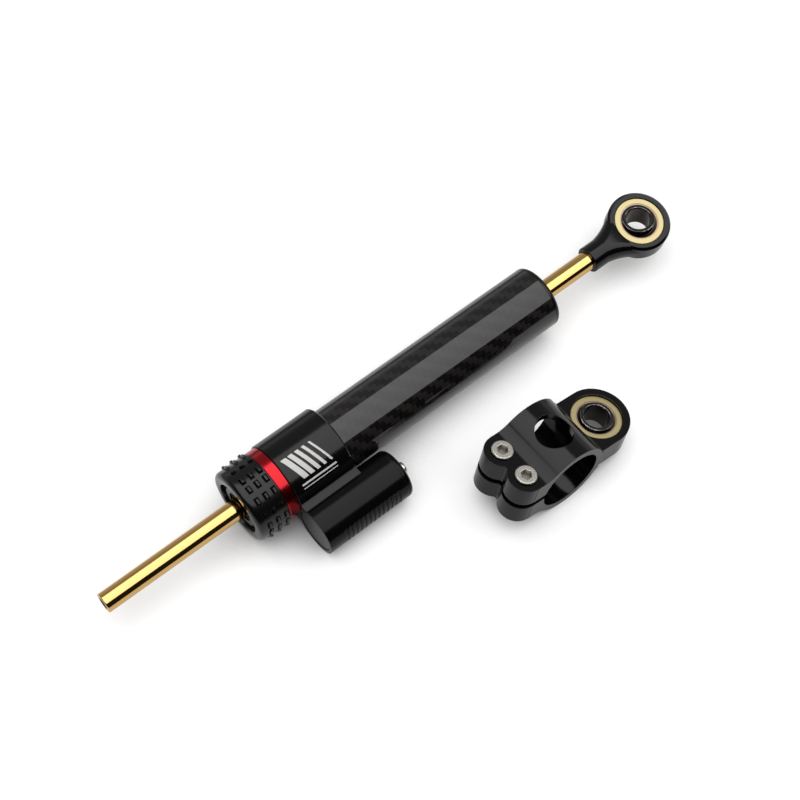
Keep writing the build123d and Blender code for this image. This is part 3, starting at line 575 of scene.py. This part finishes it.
# %% Finish: valve head with slanted bars
HEAD_RADIUS = 0.0155
PATCH_FRONT_X = -0.1788
PATCH_STEP = 0.0026
PATCH_LENGTH = 6
PATCH_WIDTH = 4
PATCH_MIDDLE_DEG = -24.0
BAR_PITCH = 1.2
BAR_WIDTH = 0.9
BAR_THINNING = -0.14
BAR_SLANT = 0.35
FINE_LINES = ((-0.9, -0.62), (-1.45, -1.3))
COLLAR_TOP_Z = 0.003
LASER_GREY = (0.62, 0.61, 0.60, 1.0)

head_black, tree, shader, place, plain = black_anodised("head_black", marks=0.6)
parts = add_node(tree, "ShaderNodeSeparateXYZ", {0: place}).outputs
angle = maths(tree, "ARCTAN2", parts["Y"], parts["Z"])
arc = maths(tree, "MULTIPLY", angle, HEAD_RADIUS)
middle_arc = math.radians(PATCH_MIDDLE_DEG) * HEAD_RADIUS
along = maths(tree, "DIVIDE", maths(tree, "SUBTRACT", parts["X"], PATCH_FRONT_X), PATCH_STEP)
from_middle = maths(tree, "DIVIDE", maths(tree, "SUBTRACT", arc, middle_arc), PATCH_STEP)
across = maths(tree, "ADD", from_middle, PATCH_WIDTH / 2)


def inside(value, low, high):
    """1 where the value lies between low and high."""
    return maths(
        tree,
        "MULTIPLY",
        maths(tree, "GREATER_THAN", value, low),
        maths(tree, "LESS_THAN", value, high),
    )


slanted = maths(tree, "MULTIPLY_ADD", from_middle, BAR_SLANT, along)
number = maths(tree, "FLOOR", maths(tree, "DIVIDE", slanted, BAR_PITCH))
width = maths(tree, "MULTIPLY_ADD", number, BAR_THINNING, BAR_WIDTH)
on_bar = maths(tree, "LESS_THAN", maths(tree, "FLOORED_MODULO", slanted, BAR_PITCH), width)
in_patch = maths(
    tree, "MULTIPLY", inside(slanted, 0.0, PATCH_LENGTH), inside(across, 0.0, PATCH_WIDTH)
)
bars = maths(tree, "MULTIPLY", on_bar, in_patch)
lines = maths(tree, "ADD", *(inside(across, low, high) for low, high in FINE_LINES))
lines = maths(tree, "MULTIPLY", lines, inside(along, 0.0, PATCH_LENGTH))
marked = maths(tree, "MAXIMUM", bars, lines)
on_top = maths(tree, "GREATER_THAN", parts["Z"], COLLAR_TOP_Z)
marked = maths(tree, "MULTIPLY", marked, on_top)
tree.links.new(blend_colours(tree, marked, plain, LASER_GREY), shader.inputs["Base Color"])
print("row of", round(PATCH_LENGTH / BAR_PITCH), "slanted bars")

# %% [markdown]
# The knob is anodised too. Its gloss is set as a coat whose weight follows the open places, so
# the tops of the teeth shine and the ground between them is deep black: painted shade in the
# hollows. The reservoir plug has the same dye on a face that was turned and not polished, with
# clear circles.

# %% Finish: knob and reservoir plug
SATIN_WEAR = 0.3
SATIN_WORN_GREY = 0.11


def satin_black(name, centre, dark, light, smooth, rough, mark_weight):
    """Anodising with grain, turned marks, lighter edges and a gloss only on its open places, which
    paints shade into its hollows.
    """
    material, tree, shader, place = start_material(
        name, centre, Specular_IOR_Level=0.04, Coat_IOR=1.38, Coat_Roughness=smooth
    )
    free = use_group(tree, group_open, reach=0.0016, closed=0.45, free=0.85).outputs["Open"]
    # Painted shade: the coat, and with it the reflection, fades out in the hollows.
    tree.links.new(free, shader.inputs["Coat Weight"])
    grain = use_group(tree, group_grain, vector=place, size=0.0003).outputs["Grain"]
    lines = use_group(tree, group_turned, vector=place, pitch=0.0002).outputs["Marks"]
    edges = use_group(tree, group_edges, vector=place, radius=0.00025, patches=0.002)
    mixed = maths(tree, "ADD", maths(tree, "MULTIPLY", lines, mark_weight), grain)
    dye = blend_colours(tree, maths(tree, "MULTIPLY", mixed, 0.6), grey(dark), grey(light))
    worn = maths(tree, "MULTIPLY", edges.outputs["Edge"], SATIN_WEAR)
    colour = blend_colours(tree, worn, dye, grey(SATIN_WORN_GREY))
    tree.links.new(colour, shader.inputs["Base Color"])
    tree.links.new(spread(tree, mixed, smooth, rough), shader.inputs["Roughness"])
    normal = bump(tree, mixed, 0.000006, edges.outputs["Normal"])
    tree.links.new(normal, shader.inputs["Normal"])
    return material


knob_black = satin_black(
    "knob_satin",
    (0.0, 0.0, 0.0),
    dark=0.0012,
    light=0.005,
    smooth=0.19,
    rough=0.4,
    mark_weight=0.3,
)
plug_grey = satin_black(
    "plug_grey",
    RESERVOIR_CENTRE,
    dark=0.014,
    light=0.03,
    smooth=0.3,
    rough=0.5,
    mark_weight=0.8,
)
print("satin finishes ready")

# %% [markdown]
# Red anodising lets the aluminium shine through the dye, so it is a metal with a deep red colour,
# under the thin clear oxide that a coat stands for.

# %% Finish: red anodising
RED_DEEP = (0.38, 0.009, 0.015, 1.0)
RED_LIGHT = (0.54, 0.022, 0.03, 1.0)
RED_WORN = (0.8, 0.12, 0.12, 1.0)

red_finish, tree, shader, place = start_material(
    "red_anodised_bright", Metallic=1.0, Coat_Weight=0.12, Coat_Roughness=0.12
)
grain = use_group(tree, group_grain, vector=place, size=0.0004).outputs["Grain"]
lines = use_group(tree, group_turned, vector=place, pitch=0.00015).outputs["Marks"]
edges = use_group(tree, group_edges, vector=place, radius=0.0002, patches=0.002)
mixed = maths(tree, "MULTIPLY", maths(tree, "ADD", grain, lines), 0.5)
deep = blend_colours(tree, mixed, RED_DEEP, RED_LIGHT)
worn = maths(tree, "MULTIPLY", edges.outputs["Edge"], 0.25)
colour = blend_colours(tree, worn, deep, RED_WORN)
tree.links.new(colour, shader.inputs["Base Color"])
tree.links.new(spread(tree, mixed, 0.14, 0.24), shader.inputs["Roughness"])
tree.links.new(bump(tree, mixed, 0.000004, edges.outputs["Normal"]), shader.inputs["Normal"])
print("red finish ready")

# %% [markdown]
# The tube is wrapped in carbon cloth under a thick clear lacquer. The lacquer is the coat and
# gives the crisp band; the cloth beneath is dark, with bundles that catch the light differently
# by their direction, painted as a lighter colour on the crosswise bundles, and a painted sheen
# on their crowns. The lacquer fills the cloth's relief, so only the layer beneath is bumped.

# %% Finish: carbon sleeve
BUNDLES_ROUND = 40.0
BUNDLE_WIDTH = 0.00204
LENGTHWISE_TONE = (0.0016, 0.0014, 0.0018, 1.0)
CROSSWISE_SHEEN_TONE = (0.0150, 0.0125, 0.0120, 1.0)
CROWN_SHEEN_TONE = (0.020, 0.017, 0.016, 1.0)
CLOUD_TONE = (0.004, 0.0035, 0.0035, 1.0)

carbon_finish, tree, shader, place = start_material(
    "carbon_lacquered", Coat_Weight=1.0, Coat_Roughness=0.03, Coat_IOR=1.5, Specular_IOR_Level=0.04
)
weave = use_group(
    tree, group_twill, vector=place, bundles=BUNDLES_ROUND, width=BUNDLE_WIDTH
).outputs
grain = use_group(tree, group_grain, vector=place, size=0.004).outputs["Grain"]
# Painted sheen: crosswise bundles get a lighter colour than lengthwise ones.
bundle_sheen_tone = blend_colours(tree, weave["Lengthwise"], CROSSWISE_SHEEN_TONE, LENGTHWISE_TONE)
# Painted sheen: the crowns of the bundles get lighter along their fibres.
crown_sheen = maths(tree, "MULTIPLY", weave["Height"], weave["Fibres"])
cloth = blend_colours(tree, maths(tree, "MULTIPLY", crown_sheen, 0.5), bundle_sheen_tone, CROWN_SHEEN_TONE)
clouded = blend_colours(tree, maths(tree, "MULTIPLY", grain, 0.3), cloth, CLOUD_TONE)
tree.links.new(clouded, shader.inputs["Base Color"])
tree.links.new(spread(tree, weave["Lengthwise"], 0.5, 0.38), shader.inputs["Roughness"])
relief = maths(tree, "MULTIPLY_ADD", weave["Fibres"], 0.15, weave["Height"])
tree.links.new(bump(tree, relief, 0.00006), shader.inputs["Normal"])
print("carbon finish ready")

# %% [markdown]
# The rod is polished steel with a gold coloured coat. It is nearly a mirror, with very faint
# rings from polishing. The bearing races have the same colour on a duller, brushed face.

# %% Finish: gold coats
def gold(name, dark, light, smooth, rough, pitch, depth):
    """Gold coloured coat on steel with tool marks."""
    material, tree, shader, place = start_material(name, Metallic=1.0)
    grain = use_group(tree, group_grain, vector=place, size=0.0009).outputs["Grain"]
    lines = use_group(tree, group_turned, vector=place, pitch=pitch).outputs["Marks"]
    edges = use_group(tree, group_edges, vector=place, radius=0.00015, patches=0.002)
    mixed = maths(tree, "MULTIPLY", maths(tree, "ADD", grain, lines), 0.5)
    colour = blend_colours(tree, mixed, dark, light)
    tree.links.new(colour, shader.inputs["Base Color"])
    tree.links.new(spread(tree, mixed, smooth, rough), shader.inputs["Roughness"])
    tree.links.new(bump(tree, lines, depth, edges.outputs["Normal"]), shader.inputs["Normal"])
    return material


ROD_GOLD = ((0.66, 0.40, 0.135, 1.0), (0.80, 0.52, 0.20, 1.0))
RACE_GOLD = ((0.50, 0.42, 0.215, 1.0), (0.62, 0.53, 0.285, 1.0))
rod_gold = gold("rod_gold", *ROD_GOLD, smooth=0.04, rough=0.09, pitch=0.0003, depth=0.0000004)
race_gold = gold("race_gold", *RACE_GOLD, smooth=0.36, rough=0.5, pitch=0.0002, depth=0.000002)
print("gold finishes ready")

# %% [markdown]
# The other metals differ only in colour and polish: dark chromed balls, stainless screws, bronze
# bushes, spring steel and bare aluminium. Rubber and the piston ring's plastic are plain matt
# materials with a grain. One function makes each from a row of values. It paints a highlight on
# the rims and paints shade into the hollows, such as a screw's socket.

# %% Finishes: the other metals, rubber and plastic
# Painted shade: the dark tone that the hollows of the plain finishes take.
HOLLOW_SHADE_TONE = (0.03, 0.022, 0.016, 1.0)


def plain_finish(name, metallic, dark, light, rim_highlight, hollow_shade, smooth, rough, size, depth):
    """A metal, rubber or plastic with a grain, a painted highlight on its rims and painted shade in
    its hollows.
    """
    material, tree, shader, place = start_material(name, Metallic=metallic)
    grain = use_group(tree, group_grain, vector=place, size=size).outputs["Grain"]
    edges = use_group(tree, group_edges, vector=place, radius=0.0003, patches=0.002)
    free = use_group(tree, group_open, reach=0.003, closed=0.35, free=0.92).outputs["Open"]
    face = blend_colours(tree, grain, dark, light)
    # Painted shade: where occlusion finds a hollow, the colour darkens towards the hollow shade
    # tone.
    face_with_hollow_shade = blend_colours(tree, hollow_shade, face, HOLLOW_SHADE_TONE)
    # Painted highlight: the edge mask lightens the rims towards the rim highlight colour.
    face_with_rim_highlight = blend_colours(tree, edges.outputs["Edge"], face, grey(rim_highlight))
    colour = blend_colours(tree, free, face_with_hollow_shade, face_with_rim_highlight)
    tree.links.new(colour, shader.inputs["Base Color"])
    tree.links.new(spread(tree, grain, smooth, rough), shader.inputs["Roughness"])
    tree.links.new(bump(tree, grain, depth, edges.outputs["Normal"]), shader.inputs["Normal"])
    return material


# Each row: metallic, dark, light, rim highlight, hollow shade, smooth, rough, grain size and grain
# depth.
OTHER_FINISHES = {
    "dark_chrome": (
        1.0, (0.07, 0.063, 0.06, 1), (0.1, 0.09, 0.085, 1), 0.8, 0.4, 0.03, 0.07, 8e-4, 2e-7
    ),
    "bright_steel": (
        1.0, (0.64, 0.6, 0.54, 1), (0.8, 0.76, 0.7, 1), 0.95, 0.85, 0.22, 0.32, 4e-4, 1e-6
    ),
    "bronze": (
        1.0, (0.42, 0.29, 0.22, 1), (0.55, 0.4, 0.31, 1), 0.5, 0.1, 0.3, 0.45, 3e-4, 2e-6
    ),
    "spring_steel": (
        1.0, (0.16, 0.16, 0.17, 1), (0.26, 0.26, 0.27, 1), 0.4, 0.3, 0.22, 0.35, 4e-4, 1e-6
    ),
    "bare_aluminium": (
        1.0, (0.6, 0.6, 0.61, 1), (0.76, 0.76, 0.77, 1), 0.8, 0.3, 0.25, 0.4, 4e-4, 2e-6
    ),
    "black_rubber": (
        0.0, (0.011, 0.011, 0.011, 1), (0.02, 0.02, 0.02, 1), 0.03, 0.3, 0.5, 0.65, 3e-4, 5e-6
    ),
    "ptfe_ring": (
        0.0, (0.08, 0.2, 0.14, 1), (0.13, 0.27, 0.2, 1), 0.3, 0.3, 0.45, 0.6, 3e-4, 3e-6
    ),
}
other_finishes = {name: plain_finish(name, *row) for name, row in OTHER_FINISHES.items()}
print("finishes:", sorted(other_finishes))

# %% [markdown]
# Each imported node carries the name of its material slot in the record. Most nodes take their
# slot's finish. The black nodes take one of the variants, by name.

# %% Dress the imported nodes
SLOT_FINISHES = {
    "knob_black": knob_black,
    "red_anodised": red_finish,
    "grey_anodised": plug_grey,
    "carbon_gloss": carbon_finish,
    "gold_rod": rod_gold,
    "gold_race": race_gold,
    **other_finishes,
}
BLACK_NODES = {
    "valve_head": head_black,
    "rear_end_cap": cap_black,
    "reservoir_cap": reservoir_black,
    "rod_end_housing": rod_end_black,
    "clamp_body": clamp_black,
}
for part in frame["record"]["subparts"]:
    name = part["node"]
    finish = BLACK_NODES.get(name) or SLOT_FINISHES[part["material_slot"]]
    node = frame["nodes"][name]
    node.data.materials.clear()
    node.data.materials.append(finish)

# %% [markdown]
# Head and reservoir are one billet, but the reservoir's own turned marks run round its own axis,
# and it is duller. So the faces that lie round that axis get the reservoir's finish.

# %% Reservoir part of the billet
RESERVOIR_REACH = 0.0103
billet = frame["nodes"]["valve_head"].data
billet.materials.append(reservoir_black)
for face in billet.polygons:
    sideways = face.center.y - RESERVOIR_CENTRE[1]
    upwards = face.center.z - RESERVOIR_CENTRE[2]
    if math.hypot(sideways, upwards) < RESERVOIR_REACH:
        face.material_index = 1
duller = sum(face.material_index for face in billet.polygons)
print(duller, "of", len(billet.polygons), "faces have the reservoir's finish")

# %% [markdown]
# Three pieces are modelled again. The knob and the charge screw have finer shapes than their
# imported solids, and the spring has to give when its piston moves. Each starts as a plain cylinder
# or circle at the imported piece's own place. The first two get all further shape from choosing
# faces or edges by their place and working on them, which keeps every step readable.

# %% Helpers for modelling
CLOSE = 0.00005
WELD = 0.00002
SQUARE_ON = 0.99
TURNED_SMOOTHING = math.radians(32.0)


def cylinder_along_x(name, front_x, back_x, centre_y, centre_z, radius, segments):
    """A closed cylinder between two stations along X."""
    bpy.ops.object.select_all(action="DESELECT")
    bpy.ops.mesh.primitive_cylinder_add(
        vertices=segments,
        radius=radius,
        depth=back_x - front_x,
        location=((front_x + back_x) / 2, centre_y, centre_z),
        rotation=(0.0, math.radians(-90.0), 0.0),
    )
    piece = bpy.context.object
    piece.name = name
    bpy.ops.object.transform_apply(location=True, rotation=True, scale=True)
    return piece


def choose(piece, kind, test):
    """Selects the faces or edges whose centre and direction pass a test, in edit mode."""
    mesh = piece.data
    bpy.ops.object.mode_set(mode="EDIT")
    bpy.ops.mesh.select_mode(type=kind)
    bpy.ops.mesh.select_all(action="DESELECT")
    bpy.ops.object.mode_set(mode="OBJECT")
    if kind == "FACE":
        for face in mesh.polygons:
            face.select = test(face.center, face.normal)
    else:
        for edge in mesh.edges:
            start, end = (mesh.vertices[index].co for index in edge.vertices)
            edge.select = test((start + end) / 2, (end - start).normalized())
    bpy.ops.object.mode_set(mode="EDIT")


def faces_front(centre, normal):
    """True for faces that look along the X axis towards the rod's tip."""
    return normal.x < -SQUARE_ON


def push(distance):
    """Extrudes the chosen faces along X."""
    bpy.ops.mesh.extrude_region_move(TRANSFORM_OT_translate={"value": (distance, 0.0, 0.0)})


def finish_piece(piece, body, node, material):
    """Closes the mesh, smooths it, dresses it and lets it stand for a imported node."""
    bpy.ops.mesh.select_all(action="SELECT")
    bpy.ops.mesh.remove_doubles(threshold=WELD)
    bpy.ops.mesh.normals_make_consistent(inside=False)
    bpy.ops.object.mode_set(mode="OBJECT")
    bpy.ops.object.shade_smooth_by_angle(angle=TURNED_SMOOTHING)
    piece.data.materials.append(material)
    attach(piece, body)
    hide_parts(node)
    print(piece.name, "has", len(piece.data.polygons), "faces")


print("modelling helpers ready")

# %% [markdown]
# The knob is a turned ring: a rounded front edge, a recess for the circlip and a wider hollow at
# the back, where the metering sleeve's thread runs. Ninety segments were chosen because they
# divide by the eighteen tooth columns, five segments to a column.

# %% Knob: the turned ring
KNOB_SEGMENTS = 90
KNOB_RADIUS = 0.0150
KNOB_FRONT_ROUND = 0.0018
KNOB_RECESS_ROUND = 0.0003
KNOB_RECESS_RADIUS = 0.0106
KNOB_RECESS_DEPTH = 0.003
KNOB_BORE_RADIUS = 0.0086
KNOB_HOLLOW_RADIUS = 0.01206
KNOB_HOLLOW_FRONT_X = -0.1936

knob_low, knob_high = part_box("adjuster_knob")
knob = cylinder_along_x(
    "knob", knob_low.x, knob_high.x, 0.0, 0.0, KNOB_RADIUS, KNOB_SEGMENTS
)
choose(knob, "FACE", faces_front)
bpy.ops.mesh.inset(thickness=KNOB_RADIUS - KNOB_RECESS_RADIUS)
push(KNOB_RECESS_DEPTH)
bpy.ops.mesh.inset(thickness=KNOB_RECESS_RADIUS - KNOB_BORE_RADIUS)
push(KNOB_HOLLOW_FRONT_X - knob_low.x - KNOB_RECESS_DEPTH)
bpy.ops.mesh.delete(type="ONLY_FACE")
choose(
    knob,
    "FACE",
    lambda centre, normal: normal.x > SQUARE_ON and centre.x > knob_high.x - CLOSE,
)
bpy.ops.mesh.inset(thickness=KNOB_RADIUS - KNOB_HOLLOW_RADIUS)
push(KNOB_HOLLOW_FRONT_X - knob_high.x)
bpy.ops.mesh.inset(thickness=KNOB_HOLLOW_RADIUS - KNOB_BORE_RADIUS)
bpy.ops.mesh.delete(type="ONLY_FACE")


def out_from_axis(place):
    """Distance from the damper's axis."""
    return math.hypot(place.y, place.z)


choose(
    knob,
    "EDGE",
    lambda centre, along: centre.x < knob_low.x + CLOSE
    and out_from_axis(centre) > KNOB_RADIUS - 2 * CLOSE,
)
bpy.ops.mesh.bevel(offset=KNOB_FRONT_ROUND, segments=4, affect="EDGES")
choose(
    knob,
    "EDGE",
    lambda centre, along: centre.x < knob_low.x + CLOSE
    and abs(out_from_axis(centre) - KNOB_RECESS_RADIUS) < 2 * CLOSE,
)
bpy.ops.mesh.bevel(offset=KNOB_RECESS_ROUND, segments=2, affect="EDGES")
print("knob ring from", round(knob_low.x, 5), "to", round(knob_high.x, 5))

# %% [markdown]
# The teeth are square pads that stand in shallow pockets. Cutting the outside at both ends of
# each row gives the pads' outlines as faces. An inset with a negative depth makes the pocket,
# and a second inset with a positive depth raises the pad with sloping sides.

# %% Knob: pads in pockets
PAD_ROWS_X = (-0.19605, -0.1923, -0.18855)
PAD_HALF_LENGTH = 0.00105
PAD_COLUMN_SEGMENTS = 5
PAD_SEGMENTS = 3
POCKET_SLOPE = 0.0003
POCKET_DEPTH = 0.00045
PAD_SLOPE = 0.00035
PAD_TOP_RADIUS = 0.01592
OUTSIDE_REACH = 0.0004
SEGMENT_DEG = 360.0 / KNOB_SEGMENTS


def on_outside(centre, normal):
    """True for the faces of the knob's round outside."""
    return out_from_axis(centre) > KNOB_RADIUS - OUTSIDE_REACH and abs(normal.x) < 0.01


def in_pad(centre, normal):
    """True where a pad is outlined: its row along X and its segments round the axis."""
    in_row = any(abs(centre.x - row) < PAD_HALF_LENGTH / 2 for row in PAD_ROWS_X)
    segment = math.floor(math.degrees(math.atan2(centre.y, centre.z)) / SEGMENT_DEG)
    return in_row and segment % PAD_COLUMN_SEGMENTS < PAD_SEGMENTS and on_outside(centre, normal)


for row in PAD_ROWS_X:
    for station in (row - PAD_HALF_LENGTH, row + PAD_HALF_LENGTH):
        choose(knob, "FACE", on_outside)
        bpy.ops.mesh.bisect(plane_co=(station, 0.0, 0.0), plane_no=(1.0, 0.0, 0.0))
choose(knob, "FACE", in_pad)
bpy.ops.mesh.inset(thickness=POCKET_SLOPE, depth=-POCKET_DEPTH)
pad_height = PAD_TOP_RADIUS - KNOB_RADIUS + POCKET_DEPTH
bpy.ops.mesh.inset(thickness=PAD_SLOPE, depth=pad_height)
finish_piece(knob, "adjuster", "adjuster_knob", knob_black)

# %% [markdown]
# The charge screw closes the reservoir's far end. The photograph shows its bright domed head
# standing clear of the cap, so it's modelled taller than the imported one: a button head with a
# round key hole, on a thin shank.

# %% Charge screw
SCREW_SEGMENTS = 32
SCREW_HEAD_RADIUS = 0.0026
SCREW_HEAD_TOP_X = -0.1400
SCREW_DOME = 0.0012
SCREW_SHANK_RADIUS = 0.00148
SCREW_KEY_RADIUS = 0.0011
SCREW_KEY_DEPTH = 0.0012

charge_low, charge_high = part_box("charge_screw")
reservoir_middle = (charge_low + charge_high) / 2
seat_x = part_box("charge_screw_washer")[1].x
charge_screw = cylinder_along_x(
    "charge_screw_domed",
    seat_x,
    SCREW_HEAD_TOP_X,
    reservoir_middle.y,
    reservoir_middle.z,
    SCREW_HEAD_RADIUS,
    SCREW_SEGMENTS,
)
choose(charge_screw, "FACE", faces_front)
bpy.ops.mesh.inset(thickness=SCREW_HEAD_RADIUS - SCREW_SHANK_RADIUS)
push(charge_low.x - seat_x)
choose(charge_screw, "EDGE", lambda centre, along: centre.x > SCREW_HEAD_TOP_X - CLOSE)
bpy.ops.mesh.bevel(offset=SCREW_DOME, segments=4, affect="EDGES")
choose(
    charge_screw,
    "FACE",
    lambda centre, normal: normal.x > SQUARE_ON and centre.x > SCREW_HEAD_TOP_X - CLOSE,
)
bpy.ops.mesh.inset(thickness=SCREW_HEAD_RADIUS - SCREW_DOME - SCREW_KEY_RADIUS)
push(-SCREW_KEY_DEPTH)
finish_piece(
    charge_screw, "barrel", "charge_screw", other_finishes["bright_steel"]
)

# %% [markdown]
# The compensator spring stands between the floating piston and the reservoir's cap, and it
# shortens when the piston moves. A rigid coil would stay behind and cut into the piston, so the
# coil is modelled again: a wire section turned along its helix by the Screw modifier.

# %% Compensator spring
SPRING_TURNS = 5
SPRING_WIRE_RADIUS = 0.0006
SPRING_STEPS_PER_TURN = 24
SPRING_WIRE_SIDES = 10
SPRING_SMOOTHING = math.radians(40.0)

spring_low, spring_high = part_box("compensator_spring")
spring_middle = (spring_low + spring_high) / 2
coil_radius = (spring_high.y - spring_low.y) / 2 - SPRING_WIRE_RADIUS
coil_length = spring_high.x - spring_low.x - 2 * SPRING_WIRE_RADIUS
bpy.ops.object.select_all(action="DESELECT")
bpy.ops.mesh.primitive_circle_add(
    vertices=SPRING_WIRE_SIDES,
    radius=SPRING_WIRE_RADIUS,
    location=(spring_low.x + SPRING_WIRE_RADIUS, 0.0, coil_radius),
    rotation=(math.radians(90.0), 0.0, 0.0),
)
spring = bpy.context.object
spring.name = "compensator_coil"
bpy.ops.object.transform_apply(location=True, rotation=True, scale=True)
helix = spring.modifiers.new("helix", "SCREW")
helix.axis = "X"
helix.angle = 2 * math.pi
helix.screw_offset = coil_length / SPRING_TURNS
helix.iterations = SPRING_TURNS
helix.steps = SPRING_STEPS_PER_TURN
helix.render_steps = SPRING_STEPS_PER_TURN
bpy.ops.object.modifier_apply(modifier=helix.name)
bpy.ops.object.mode_set(mode="EDIT")
bpy.ops.mesh.select_all(action="SELECT")
bpy.ops.mesh.fill_holes(sides=0)
bpy.ops.mesh.select_all(action="SELECT")
bpy.ops.mesh.normals_make_consistent(inside=False)
bpy.ops.object.mode_set(mode="OBJECT")
spring.location = (0.0, spring_middle.y, spring_middle.z)
bpy.ops.object.transform_apply(location=True, rotation=True, scale=True)
bpy.ops.object.shade_smooth_by_angle(angle=SPRING_SMOOTHING)
spring.data.materials.append(other_finishes["spring_steel"])
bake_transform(spring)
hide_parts("compensator_spring")
print(spring.name, "has", len(spring.data.polygons), "faces, coil radius", round(coil_radius, 5))
